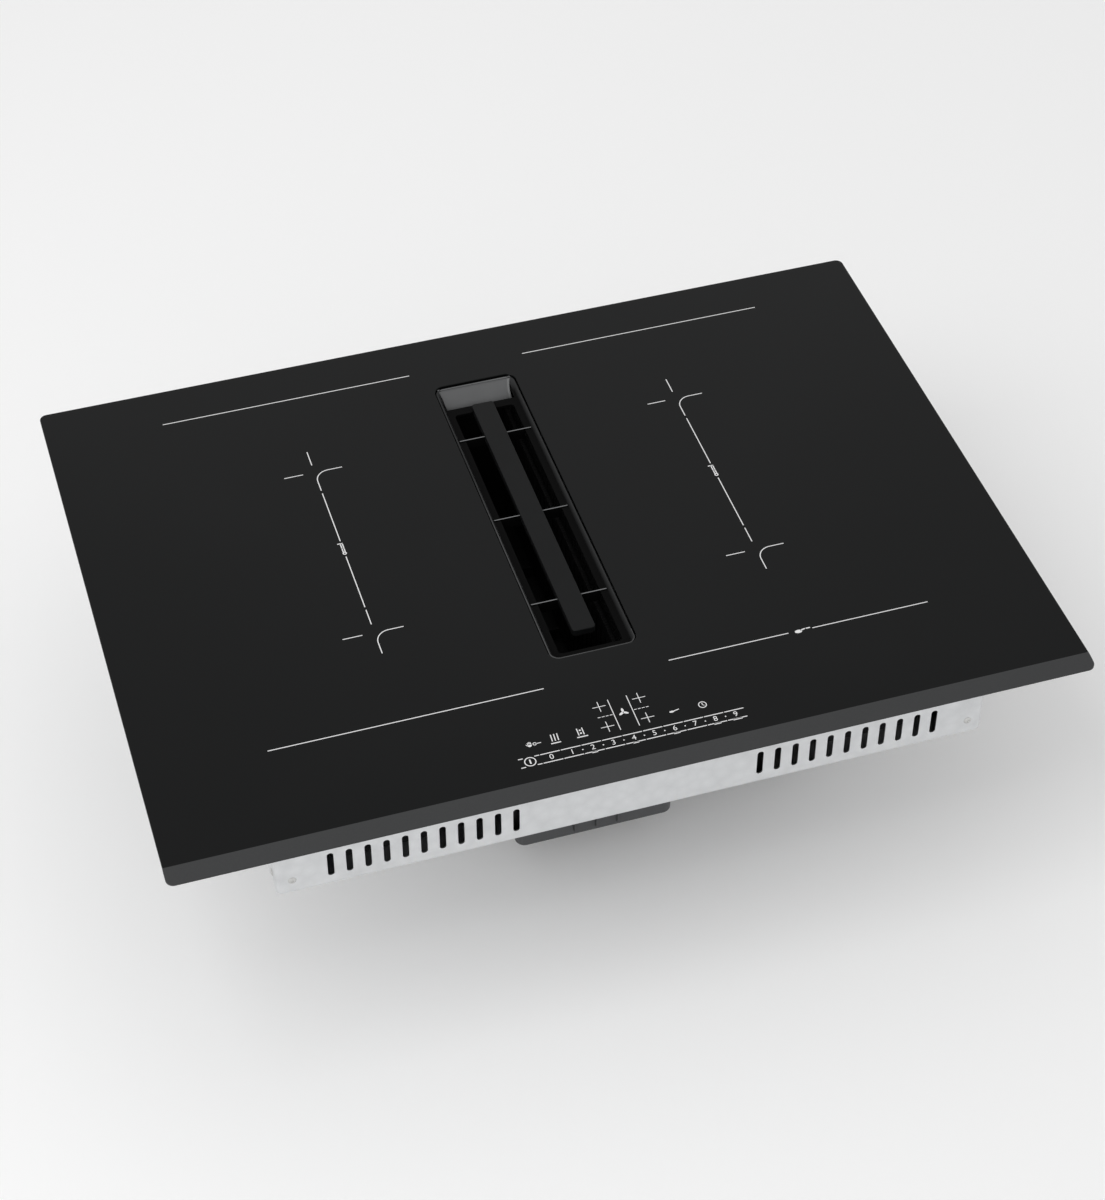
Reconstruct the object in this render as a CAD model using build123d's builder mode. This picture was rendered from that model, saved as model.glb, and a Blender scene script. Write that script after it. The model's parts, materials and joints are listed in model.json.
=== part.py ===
"""Downdraft induction cooktop, 70 cm wide, with the extraction built in under the glass.

Millimetres. +X is the user's right, +Y is to the rear, +Z is up. The origin lies under
the middle of the glass, at the level of the feet on which the unit stands on a bench.
"""

from build123d import *
import math
import os

os.makedirs("parts", exist_ok=True)

# ------------------------------------------------------------------ driving dimensions
# glass
glass_width = 710.0
glass_depth = 522.0
glass_thick = 4.0
glass_corner = 6.0
ground_edge = 0.4
facet_width = 14.9
facet_drop = 2.5

# inlet opening in the glass
well_width = 70.0
well_length = 331.5
well_y = 32.25
well_corner = 8.5

# fit in the worktop
immersion = 223.0
cutout_width = 560.0
cutout_depth = 490.0
cutout_play = 4.0
seal_thick = 1.0
seal_width = 8.0
seal_inset = 6.0

# sheet-metal body
tray_depth = 60.0
tray_sheet = 1.0
tray_corner = 4.0
tray_bend = 1.5
tray_top_gap = 1.0
frame_sheet = 1.2
frame_flange = 14.0
frame_leg = 15.0

# clearances
slide_gap = 0.3
rim_gap = 1.0
run_gap = 0.05
press_gap = 0.02
screw_gap = 0.2

# inlet shaft, its flange and its ledge for the filter unit
gasket_thick = 1.0
gasket_width = 6.0
flange_thick = 2.5
flange_width = 12.0
shaft_wall = 2.2
rim_seat = 2.2
ledge_width = 2.0
ledge_drop = 26.0

# inlet grille
rim_recess = 1.2
rim_land = 1.0
shoulder_in = 2.2
shoulder_drop = 5.6
grille_ledge = 5.4
grille_floor = 2.4
skirt_wall = 2.0
skirt_drop = 22.0
rib_count = 3
rib_pitch = 99.8
rib_thick = 1.4
rib_top_drop = 4.9
rib_height = 10.2
bar_width = 18.6
bar_length = 278.6
bar_thick = 6.0
bar_drop = 2.4
bar_corner = 3.0
bar_edge = 0.4
rim_round = 0.8
deflector_width = 56.0
deflector_run = 13.1
deflector_drop = 12.0
deflector_sheet = 1.2
deflector_cheek = 1.0

# filter unit
filter_wall = 2.0
filter_flange = 3.0
filter_collar = 12.0
filter_pan = 14.0
filter_inner_corner = 1.0
filter_floor_gap = 6.0
filter_bays = 4
filter_post = 10.0
mesh_thick = 4.0
mesh_slots = 26
mesh_slot_width = 3.0
mesh_edge = 8.0
window_corner = 4.0

# air box under the tray
box_wall = 2.5
box_gap = 3.0
top_boss_height = 2.5
scroll_height = 92.0
deck_thick = 2.5
plenum_height = 33.5
chamber_front = 142.0
chamber_rear = 198.5
chamber_corner = 8.0
plenum_half = 100.0
mould_round = 2.4
joint_rim = 4.0
joint_thick = 2.5

# duct spigot, for flat duct of 222 x 89 mm
duct_width = 222.0
duct_height = 89.0
duct_length = 20.0
duct_corner = 6.0
spigot_flange = 2.5
spigot_lead = 0.8

# extraction fan
wheel_radius = 70.0
wheel_height = 66.0
wheel_eye = 56.0
blade_count = 36
blade_thick = 1.0
fan_y = -10.0
scroll_base = 86.0
scroll_step = 11.0
tongue_angle = 50.0
flare_back = 8.0
flare_rise = 52.0
flare_blend = 45.0
outlet_land = 8.0
outlet_blend = 6.0
throat_radius = 51.0
lip_height = 8.0
lip_wall = 2.0
lip_flange = 4.0
motor_radius = 38.0
motor_height = 36.0
motor_plate_radius = 58.0
motor_plate_thick = 2.0
motor_shaft_radius = 4.0
motor_cap = 4.0
motor_round = 4.0
shaft_reach = 22.0
dish_wall = 2.0
dish_gap = 3.0
dish_flare = 6.0
blade_sweep = 4.0
blade_bend = 12.0
blade_inset = 0.5
hub_radius = 13.0
wheel_floor_gap = 5.0

# odour filter cassettes
cassette_thick = 14.0
cassette_height = 84.0
cassette_gap = 2.0
cassette_inset = 13.0
cassette_grid = 1.5
cassette_corner = 2.0
grid_bays = 5
grid_bar = 5.0
grid_frame = 6.0

# overflow tank and its bay
tank_width = 118.0
tank_length = 262.0
tank_wall = 2.0
tank_corner = 10.0
tank_round = 4.0
tank_foot_gap = 3.0
grip_inset = 20.0
grip_height = 8.0
lid_thick = 2.0
lid_hole_gap = 1.5
bay_wall = 2.5
drain_radius = 7.0
drain_wall = 2.0

# cooking zones
zone_x = 154.5
zone_pitch = 190.8
zone_y = 29.8
zone_width = 206.0
coil_length = 184.0
coil_corner = 40.0
coil_thick = 5.0
coil_hole_x = 62.0
coil_hole_y = 44.0
coil_turn_count = 4
mica_thick = 0.6
former_thick = 1.5
ferrite_thick = 4.0
ferrite_width = 10.0
ferrite_length = 46.0
carrier_thick = 1.5
sensor_radius = 7.0

# electronics
board_thick = 1.6
standoff_height = 6.0
board_width = 190.0
board_length = 210.0
board_y = 62.0
heatsink_width = 44.0
heatsink_height = 26.0
fin_count = 8
fin_thick = 1.4
cooler_size = 84.0
cooler_height = 26.0
cooler_y = -178.0
cooler_x = 190.0
cooler_wheel_radius = 31.0
cooler_blades = 18
touch_length = 196.0
touch_width = 52.0
touch_y = -206.5
touch_depth = 14.0
touch_wall = 1.6

# mains inlet
gland_x = -212.0
gland_y = 205.0
gland_radius = 6.5
gland_wall = 3.0
gland_length = 22.0

# ------------------------------------------------------------------ levels and places
worktop_z = immersion
glass_z = worktop_z + seal_thick
top_z = glass_z + glass_thick
tray_z = worktop_z - tray_depth
tray_floor_z = tray_z + tray_sheet
tray_rim_z = glass_z - tray_top_gap
body_width = cutout_width - 2 * cutout_play
body_depth = cutout_depth - 2 * cutout_play

flange_z = glass_z - gasket_thick
ledge_z = top_z - ledge_drop
rim_width = well_width - 2 * rim_gap
rim_length = well_length - 2 * rim_gap
rim_corner = well_corner - rim_gap
mouth_width = rim_width - 2 * rim_seat
mouth_length = rim_length - 2 * rim_seat
mouth_corner = rim_corner - rim_seat
throat_width = mouth_width - 2 * ledge_width
throat_length = mouth_length - 2 * ledge_width
throat_corner = mouth_corner - ledge_width

box_top_z = tray_z - top_boss_height
scroll_top_z = box_top_z - box_wall
deck_top_z = scroll_top_z - scroll_height
deck_z = deck_top_z - deck_thick
pan_z = deck_z - plenum_height
wall_right = body_width / 2 - box_gap
scroll_right = wall_right - box_wall
fan_x = scroll_right - scroll_base - 2.5 * scroll_step
chamber_half = fan_x - scroll_base - scroll_step / 2
outlet_left = wall_right - duct_width + box_wall
spigot_y = body_depth / 2 - duct_length
outlet_y = spigot_y - spigot_flange
wheel_z = deck_top_z + wheel_floor_gap


def slab(plane_z, width, length, corner, height, at=(0.0, 0.0)):
    """Adds a flat rounded block to the part being built: its underside is at plane_z."""
    with BuildSketch(Plane.XY.offset(plane_z)) as outline:
        with Locations(at):
            RectangleRounded(width, length, corner)
    extrude(outline.sketch, amount=height)


def hollow(plane_z, width, length, corner, height, at=(0.0, 0.0)):
    """Cuts a flat rounded block out of the part being built."""
    with BuildSketch(Plane.XY.offset(plane_z)) as outline:
        with Locations(at):
            RectangleRounded(width, length, corner)
    extrude(outline.sketch, amount=height, mode=Mode.SUBTRACT)


def finish(piece, name):
    """Labels a finished piece and writes it."""
    piece.part.label = name
    export_step(piece.part, f"parts/{name}.step")


# ================================================================== glass and seals
with BuildPart() as glass_top:
    slab(glass_z, glass_width, glass_depth, glass_corner, glass_thick)
    hollow(glass_z, well_width, well_length, well_corner, glass_thick, (0, well_y))
    chamfer(glass_top.faces().sort_by(Axis.Z)[-1].edges(), ground_edge)
    front_y = -glass_depth / 2
    with BuildSketch(Plane.YZ):
        with BuildLine():
            Polyline(
                (front_y, top_z - facet_drop),
                (front_y + facet_width, top_z),
                (front_y, top_z + facet_drop),
                (front_y - facet_drop, top_z),
                (front_y, top_z - facet_drop),
            )
        make_face()
    extrude(amount=glass_width / 2, both=True, mode=Mode.SUBTRACT)
finish(glass_top, "glass_top")

with BuildPart() as worktop_seal:
    seal_outer_x = glass_width - 2 * seal_inset
    seal_outer_y = glass_depth - 2 * seal_inset
    slab(worktop_z, seal_outer_x, seal_outer_y, glass_corner, seal_thick)
    hollow(
        worktop_z,
        seal_outer_x - 2 * seal_width,
        seal_outer_y - 2 * seal_width,
        glass_corner / 2,
        seal_thick,
    )
finish(worktop_seal, "worktop_seal")

with BuildPart() as well_gasket:
    slab(
        flange_z,
        well_width + 2 * gasket_width,
        well_length + 2 * gasket_width,
        well_corner + gasket_width,
        gasket_thick,
        (0, well_y),
    )
    hollow(flange_z, well_width, well_length, well_corner, gasket_thick, (0, well_y))
finish(well_gasket, "well_gasket")

# ================================================================== sheet-metal body
screw_radius = 1.7
screw_head = 4.2
screw_head_thick = 2.6
side_screw_z = glass_z - frame_leg / 2 - 1
side_screw_y = (-170.0, 0.0, 170.0)
end_screw_x = (-190.0, -80.0, 80.0, 190.0)
bracket_hole_radius = 2.2
bracket_hole_spacing = 300.0
bracket_hole_z = tray_z + 18.0
louvre_count = 11
louvre_pitch = 14.0
louvre_width = 5.0
louvre_height = 24.0
louvre_x = 165.0
louvre_z = tray_z + 21.0
top_boss_radius = 7.0
top_boss_inset_x = 14.0
top_boss_inset_y = 10.0
top_boss_front = (70.0, -60.0)
top_boss_rear = (90.0, 120.0)
top_boss_at = (
    (-chamber_half + top_boss_inset_x, -chamber_front + top_boss_inset_y),
    (-chamber_half + top_boss_inset_x, chamber_rear - top_boss_inset_y),
    (chamber_half - top_boss_inset_x, -chamber_front + top_boss_inset_y),
    (fan_x + top_boss_front[0], fan_y + top_boss_front[1]),
    (fan_x + top_boss_rear[0], fan_y + top_boss_rear[1]),
)
inlet_slot_count = 7
inlet_slot_pitch = 8.0
inlet_slot_length = 46.0
inlet_slot_width = 4.0

with BuildPart() as base_tray:
    slab(tray_z, body_width, body_depth, tray_corner, tray_rim_z - tray_z)
    fillet(base_tray.faces().sort_by(Axis.Z)[0].edges(), tray_bend)
    hollow(
        tray_floor_z,
        body_width - 2 * tray_sheet,
        body_depth - 2 * tray_sheet,
        tray_corner - tray_sheet,
        tray_rim_z - tray_floor_z,
    )
    inner_edges = base_tray.edges().filter_by(lambda e: abs(e.center().Z - tray_floor_z) < run_gap)
    fillet(inner_edges, tray_bend - tray_sheet)
    # passage for the inlet shaft
    hollow(
        tray_z,
        throat_width + 2 * shaft_wall + 2 * rim_gap,
        throat_length + 2 * shaft_wall + 2 * rim_gap,
        throat_corner + shaft_wall + rim_gap,
        tray_sheet,
        (0, well_y),
    )
    # cooling-air louvres in the front and the rear wall
    with BuildSketch(Plane.XZ):
        with Locations((-louvre_x, louvre_z), (louvre_x, louvre_z)):
            with GridLocations(louvre_pitch, 1, louvre_count, 1):
                SlotOverall(louvre_height, louvre_width, rotation=90)
    extrude(amount=body_depth, both=True, mode=Mode.SUBTRACT)
    # cooling-fan inlets in the floor
    with BuildSketch(Plane.XY.offset(tray_z)):
        with Locations((-cooler_x, cooler_y), (cooler_x, cooler_y)):
            with GridLocations(inlet_slot_pitch, 1, inlet_slot_count, 1):
                SlotOverall(inlet_slot_length, inlet_slot_width, rotation=90)
    extrude(amount=tray_sheet, mode=Mode.SUBTRACT)
    # holes: box screws, cable gland
    with BuildSketch(Plane.XY.offset(tray_z)):
        with Locations(*top_boss_at):
            Circle(screw_radius + screw_gap)
        with Locations((gland_x, gland_y)):
            Circle(gland_radius + gland_wall + screw_gap)
    extrude(amount=tray_sheet, mode=Mode.SUBTRACT)
    # holes in the side walls: frame screws and fixing brackets
    with BuildSketch(Plane.YZ):
        with Locations(*[(y, side_screw_z) for y in side_screw_y]):
            Circle(screw_radius + screw_gap)
        with Locations((-bracket_hole_spacing / 2, bracket_hole_z)):
            Circle(bracket_hole_radius)
        with Locations((bracket_hole_spacing / 2, bracket_hole_z)):
            Circle(bracket_hole_radius)
    extrude(amount=body_width, both=True, mode=Mode.SUBTRACT)
    with BuildSketch(Plane.XZ):
        with Locations(*[(x, side_screw_z) for x in end_screw_x]):
            Circle(screw_radius + screw_gap)
    extrude(amount=body_depth, both=True, mode=Mode.SUBTRACT)
finish(base_tray, "base_tray")

frame_x = body_width - 2 * tray_sheet
frame_y = body_depth - 2 * tray_sheet
with BuildPart() as glass_frame:
    slab(glass_z - frame_leg, frame_x, frame_y, tray_corner - tray_sheet, frame_leg)
    hollow(
        glass_z - frame_leg,
        frame_x - 2 * frame_sheet,
        frame_y - 2 * frame_sheet,
        1.0,
        frame_leg - frame_sheet,
    )
    hollow(
        glass_z - frame_sheet,
        frame_x - 2 * frame_flange,
        frame_y - 2 * frame_flange,
        1.0,
        frame_sheet,
    )
    # the flange is narrower over the touch control
    hollow(
        glass_z - frame_sheet,
        touch_length + 2 * (touch_wall + slide_gap),
        touch_width + 2 * (touch_wall + slide_gap),
        touch_wall,
        frame_sheet,
        (0, touch_y),
    )
    with BuildSketch(Plane.YZ):
        with Locations(*[(y, side_screw_z) for y in side_screw_y]):
            Circle(screw_radius + press_gap)
    extrude(amount=body_width, both=True, mode=Mode.SUBTRACT)
    with BuildSketch(Plane.XZ):
        with Locations(*[(x, side_screw_z) for x in end_screw_x]):
            Circle(screw_radius + press_gap)
    extrude(amount=body_depth, both=True, mode=Mode.SUBTRACT)
finish(glass_frame, "glass_frame")


def screw(face, shank_length):
    """A hexagon-head screw: the head stands on the face plane, the shank goes the other way."""
    with BuildSketch(face) as head:
        RegularPolygon(screw_head, 6)
    extrude(head.sketch, amount=screw_head_thick)
    with BuildSketch(face) as shank:
        Circle(screw_radius)
    extrude(shank.sketch, amount=-shank_length)


frame_screw_length = 5.0
with BuildPart() as frame_screws:
    for side in (-1, 1):
        for y in side_screw_y:
            spot = Plane((side * body_width / 2, y, side_screw_z), z_dir=(side, 0, 0))
            screw(spot, frame_screw_length)
        for x in end_screw_x:
            spot = Plane((x, side * body_depth / 2, side_screw_z), z_dir=(0, side, 0))
            screw(spot, frame_screw_length)
finish(frame_screws, "frame_screws")

# centring springs on the two long sides of the tray, pressing in the cut-out
spring_sheet = 0.8
spring_width = 16.0
spring_length = 34.0
spring_y = (-95.0, 95.0)
spring_z = tray_z + 34.0
with BuildPart() as centring_springs:
    for side in (-1, 1):
        for y in spring_y:
            wall_x = side * body_width / 2
            reach = side * cutout_play
            with BuildSketch(Plane.XZ.offset(-y + spring_width / 2)):
                with BuildLine():
                    Polyline(
                        (wall_x, spring_z),
                        (wall_x + side * spring_sheet, spring_z),
                        (wall_x + side * spring_sheet, spring_z - spring_length / 3),
                        (wall_x + reach, spring_z - spring_length * 2 / 3),
                        (wall_x + side * spring_sheet, spring_z - spring_length),
                        (wall_x, spring_z - spring_length),
                        (wall_x + reach - side * spring_sheet, spring_z - spring_length * 2 / 3),
                        (wall_x, spring_z - spring_length / 3),
                        (wall_x, spring_z),
                    )
                make_face()
            extrude(amount=-spring_width)
finish(centring_springs, "centring_springs")

# ================================================================== inlet shaft
with BuildPart() as inlet_shaft:
    slab(
        flange_z - flange_thick,
        well_width + 2 * flange_width,
        well_length + 2 * flange_width,
        well_corner + flange_width,
        flange_thick,
        (0, well_y),
    )
    slab(
        ledge_z - shaft_wall,
        mouth_width + 2 * shaft_wall,
        mouth_length + 2 * shaft_wall,
        mouth_corner + shaft_wall,
        flange_z - ledge_z + shaft_wall,
        (0, well_y),
    )
    slab(
        box_top_z,
        throat_width + 2 * shaft_wall,
        throat_length + 2 * shaft_wall,
        throat_corner + shaft_wall,
        ledge_z - box_top_z,
        (0, well_y),
    )
    hollow(ledge_z, mouth_width, mouth_length, mouth_corner, ledge_drop, (0, well_y))
    hollow(
        box_top_z,
        throat_width,
        throat_length,
        throat_corner,
        ledge_z - box_top_z,
        (0, well_y),
    )
finish(inlet_shaft, "inlet_shaft")

# ================================================================== inlet grille
shoulder_angle = math.degrees(math.atan2(shoulder_in, shoulder_drop - rim_recess))
rim_top_z = top_z - rim_recess
shoulder_z = top_z - shoulder_drop
skirt_z = top_z - skirt_drop
opening_width = rim_width - 2 * (rim_land + shoulder_in)
opening_length = rim_length - 2 * (rim_land + shoulder_in)
opening_corner = rim_corner - rim_land - shoulder_in
skirt_width = opening_width - 2 * grille_ledge
skirt_length = opening_length - 2 * grille_ledge
skirt_corner = 3.0
nest_width = mouth_width - 2 * slide_gap
nest_length = mouth_length - 2 * slide_gap
rib_z = top_z - rib_top_drop - rib_height
rear_opening_y = well_y + opening_length / 2

with BuildPart() as grille_frame:
    slab(flange_z, rim_width, rim_length, rim_corner, rim_top_z - flange_z, (0, well_y))
    slab(
        shoulder_z - grille_floor,
        nest_width,
        nest_length,
        mouth_corner - slide_gap,
        flange_z - shoulder_z + grille_floor,
        (0, well_y),
    )
    slab(
        skirt_z,
        skirt_width + 2 * skirt_wall,
        skirt_length + 2 * skirt_wall,
        skirt_corner + skirt_wall,
        shoulder_z - skirt_z,
        (0, well_y),
    )
    # sloping shoulder, then the level ledge inside it
    with BuildSketch(Plane.XY.offset(rim_top_z)):
        with Locations((0, well_y)):
            RectangleRounded(rim_width - 2 * rim_land, rim_length - 2 * rim_land, rim_corner - rim_land)
    extrude(amount=-(rim_top_z - shoulder_z), taper=shoulder_angle, mode=Mode.SUBTRACT)
    hollow(skirt_z, skirt_width, skirt_length, skirt_corner, skirt_drop, (0, well_y))
    fillet(grille_frame.faces().sort_by(Axis.Z)[-1].outer_wire().edges(), rim_round)
    # cross ribs
    with BuildSketch(Plane.XY.offset(rib_z)):
        with Locations((0, well_y)):
            with GridLocations(1, rib_pitch, 1, rib_count):
                Rectangle(opening_width - 2 * press_gap, rib_thick)
    extrude(amount=rib_height)
    # seat for the end deflector: the ledge and the skirt stop short of it
    seat_depth = deflector_run - shoulder_in + slide_gap
    with BuildSketch(Plane.XY.offset(skirt_z)):
        with Locations((0, rear_opening_y - seat_depth / 2)):
            Rectangle(deflector_width + 2 * slide_gap, seat_depth)
    extrude(amount=skirt_drop, mode=Mode.SUBTRACT)
finish(grille_frame, "grille_frame")

with BuildPart() as grille_bar:
    bar_top_z = top_z - bar_drop
    slab(bar_top_z - bar_thick, bar_width, bar_length, bar_corner, bar_thick, (0, well_y))
    chamfer(grille_bar.faces().sort_by(Axis.Z)[-1].edges(), bar_edge)
    # slots that clip over the ribs
    with BuildSketch(Plane.XY.offset(bar_top_z - bar_thick)):
        with Locations((0, well_y)):
            with GridLocations(1, rib_pitch, 1, rib_count):
                Rectangle(bar_width, rib_thick)
    extrude(amount=rib_z + rib_height - bar_top_z + bar_thick, mode=Mode.SUBTRACT)
finish(grille_bar, "grille_bar")

# folded plate that closes the rear end of the grille: face, rear leg and two cheeks
deflector_top_y = rear_opening_y + shoulder_in - 2 * press_gap
deflector_low_y = rear_opening_y + shoulder_in - deflector_run
deflector_low_z = top_z - deflector_drop
face_angle = math.atan2(deflector_top_y - deflector_low_y, rim_top_z - deflector_low_z)
face_rise = deflector_sheet / math.sin(face_angle)
leg_y = rear_opening_y - 2 * press_gap
leg_top_z = rim_top_z - (deflector_top_y - leg_y + deflector_sheet) / math.tan(face_angle)
cheek_y = deflector_top_y - (rim_top_z - shoulder_z) * math.tan(face_angle)
with BuildPart() as grille_cavity:
    with BuildSketch(Plane.XY.offset(rim_top_z)):
        with Locations((0, well_y)):
            RectangleRounded(
                rim_width - 2 * (rim_land + press_gap),
                rim_length - 2 * (rim_land + press_gap),
                rim_corner - rim_land - press_gap,
            )
    extrude(amount=-(rim_top_z - shoulder_z), taper=shoulder_angle)
    slab(
        skirt_z,
        opening_width,
        opening_length - 2 * press_gap,
        opening_corner,
        shoulder_z - skirt_z,
        (0, well_y),
    )

with BuildPart() as end_deflector:
    with BuildSketch(Plane.YZ):
        with BuildLine():
            Polyline(
                (deflector_top_y, rim_top_z),
                (deflector_low_y, deflector_low_z),
                (deflector_low_y, deflector_low_z - face_rise),
                (leg_y - deflector_sheet, leg_top_z - face_rise),
                (leg_y - deflector_sheet, skirt_z),
                (leg_y, skirt_z),
                (leg_y, shoulder_z),
                (deflector_top_y, rim_top_z),
            )
        make_face()
    extrude(amount=deflector_width / 2, both=True)
    fillet(end_deflector.edges().filter_by(Axis.X).sort_by(Axis.Y)[0:2], deflector_sheet / 3)
    for side in (-1, 1):
        with BuildSketch(Plane.YZ.offset(side * deflector_width / 2)) as cheek:
            with BuildLine():
                Polyline(
                    (cheek_y, shoulder_z),
                    (deflector_low_y, shoulder_z),
                    (deflector_low_y, deflector_low_z - face_rise / 2),
                    (cheek_y, shoulder_z - face_rise / 2),
                    (cheek_y, shoulder_z),
                )
            make_face()
        extrude(cheek.sketch, amount=-side * deflector_cheek)
    add(grille_cavity.part, mode=Mode.INTERSECT)
finish(end_deflector, "end_deflector")

# ================================================================== filter unit
filter_width = throat_width - 2 * slide_gap
filter_length = throat_length - 2 * slide_gap
filter_corner = throat_corner - slide_gap
filter_z = deck_top_z + filter_floor_gap
window_z = filter_z + filter_pan
window_height = ledge_z - filter_collar - window_z
bay_length = (filter_length - (filter_bays + 1) * filter_post) / filter_bays
inner_width = filter_width - 2 * filter_wall
inner_length = filter_length - 2 * filter_wall

with BuildPart() as filter_frame:
    slab(
        ledge_z,
        nest_width,
        nest_length,
        mouth_corner - slide_gap,
        filter_flange,
        (0, well_y),
    )
    slab(filter_z, filter_width, filter_length, filter_corner, ledge_z - filter_z, (0, well_y))
    hollow(
        filter_z + filter_wall,
        inner_width,
        inner_length,
        filter_inner_corner,
        ledge_z - filter_z + filter_flange,
        (0, well_y),
    )
    with BuildSketch(Plane.YZ):
        with Locations((well_y, window_z + window_height / 2)):
            with GridLocations(bay_length + filter_post, 1, filter_bays, 1):
                RectangleRounded(bay_length, window_height, window_corner)
    extrude(amount=filter_width, both=True, mode=Mode.SUBTRACT)
    # lifting tab that spans the bottom pan
    with BuildSketch(Plane.XY.offset(filter_z + filter_wall)):
        with Locations((0, well_y)):
            with GridLocations(1, bay_length + filter_post, 1, filter_bays - 1):
                Rectangle(inner_width, filter_wall)
    extrude(amount=filter_pan - filter_wall)
finish(filter_frame, "filter_frame")


def grease_filter(side, name):
    """One stainless-steel filter panel, against the inner face of the filter frame."""
    panel_z = filter_z + filter_pan
    panel_height = ledge_z - panel_z
    panel_length = inner_length - 2 * filter_inner_corner
    centre_z = panel_z + panel_height / 2
    with BuildPart() as panel:
        with BuildSketch(Plane.YZ.offset(side * inner_width / 2)) as face:
            with Locations((well_y, centre_z)):
                Rectangle(panel_length, panel_height)
                with GridLocations((panel_length - 2 * mesh_edge) / mesh_slots, 1, mesh_slots, 1):
                    Rectangle(mesh_slot_width, panel_height - 2 * mesh_edge, mode=Mode.SUBTRACT)
        extrude(face.sketch, amount=-side * mesh_thick)
    finish(panel, name)


grease_filter(-1, "grease_filter_left")
grease_filter(1, "grease_filter_right")

# ================================================================== air box
fan_centre = (fan_x, fan_y)
half_step = scroll_step / 2
tongue_x = fan_x - half_step + (scroll_base - scroll_step) * math.cos(math.radians(tongue_angle))
tongue_y = fan_y + half_step + (scroll_base - scroll_step) * math.sin(math.radians(tongue_angle))
flare_low = (tongue_x - flare_back, tongue_y + flare_rise)
flare_high = (outlet_left, outlet_y - outlet_land)

with BuildSketch() as scroll_plan:
    with BuildLine():
        CenterArc(
            (fan_x - half_step, fan_y + half_step),
            scroll_base - scroll_step,
            tongue_angle,
            90 - tongue_angle,
        )
        CenterArc((fan_x - half_step, fan_y - half_step), scroll_base, 90, 90)
        CenterArc((fan_x + half_step, fan_y - half_step), scroll_base + scroll_step, 180, 90)
        CenterArc((fan_x + half_step, fan_y + half_step), scroll_base + 2 * scroll_step, 270, 90)
        Polyline(
            (scroll_right, fan_y + half_step),
            (scroll_right, outlet_y),
            (outlet_left, outlet_y),
            flare_high,
            flare_low,
            (tongue_x, tongue_y),
        )
    make_face()
    fillet(scroll_plan.vertices().group_by(Axis.X)[0].sort_by(Axis.Y)[0], outlet_blend)
    flare_vertex = scroll_plan.vertices().sort_by_distance((flare_low[0], flare_low[1], 0))[0]
    fillet(flare_vertex, flare_blend)

chamber_mid_y = (chamber_rear - chamber_front) / 2
chamber_length = chamber_rear + chamber_front
with BuildSketch() as chamber_plan:
    with Locations((0, chamber_mid_y)):
        RectangleRounded(2 * chamber_half, chamber_length, chamber_corner)

with BuildSketch() as plenum_plan:
    with Locations(fan_centre):
        Circle(plenum_half)
    with Locations((fan_x / 2, fan_y)):
        Rectangle(fan_x, 2 * plenum_half)

with BuildSketch() as box_plan:
    add(scroll_plan.sketch)
    offset(amount=box_wall)
    with Locations((wall_right - duct_width / 2, outlet_y + duct_width / 2)):
        Rectangle(duct_width * 2, duct_width, mode=Mode.SUBTRACT)
    add(chamber_plan.sketch)

with BuildSketch() as pan_plan:
    add(chamber_plan.sketch)
    add(plenum_plan.sketch)

with BuildSketch() as deck_plan:
    add(box_plan.sketch)
    add(plenum_plan.sketch)

# the joint rim stands out round the box, but stays inside the body and in front of the outlet
with BuildSketch() as rim_keep:
    Rectangle(body_width, 2 * outlet_y)

with BuildSketch() as lower_rim:
    with Locations((0, chamber_mid_y)):
        RectangleRounded(
            2 * (chamber_half + joint_rim),
            chamber_length + 2 * joint_rim,
            chamber_corner + joint_rim,
        )

with BuildSketch() as plenum_rim:
    with Locations(fan_centre):
        Circle(plenum_half + joint_rim)
    with Locations((fan_x / 2, fan_y)):
        Rectangle(fan_x, 2 * (plenum_half + joint_rim))

with BuildSketch() as box_rim:
    add(scroll_plan.sketch)
    offset(amount=box_wall + joint_rim)
    add(rim_keep.sketch, mode=Mode.INTERSECT)
    add(lower_rim.sketch)

with BuildSketch() as pan_rim:
    add(lower_rim.sketch)
    add(plenum_rim.sketch)

with BuildSketch() as deck_rim:
    add(box_rim.sketch)
    add(plenum_rim.sketch)

boss_radius = 6.0
boss_out = screw_head + screw_gap
boss_height = 12.0
boss_cap = 2.0
boss_drop = 8.0
boss_inset = 30.0
box_boss_at = (
    (-chamber_half - boss_out, -chamber_front + boss_inset),
    (-chamber_half - boss_out, chamber_mid_y),
    (-chamber_half - boss_out, chamber_rear - boss_inset),
    (-chamber_half + boss_inset, -chamber_front - boss_out),
    (chamber_half - boss_inset, -chamber_front - boss_out),
    (0, chamber_rear + boss_out),
)
motor_hole_gap = 4.0

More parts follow.
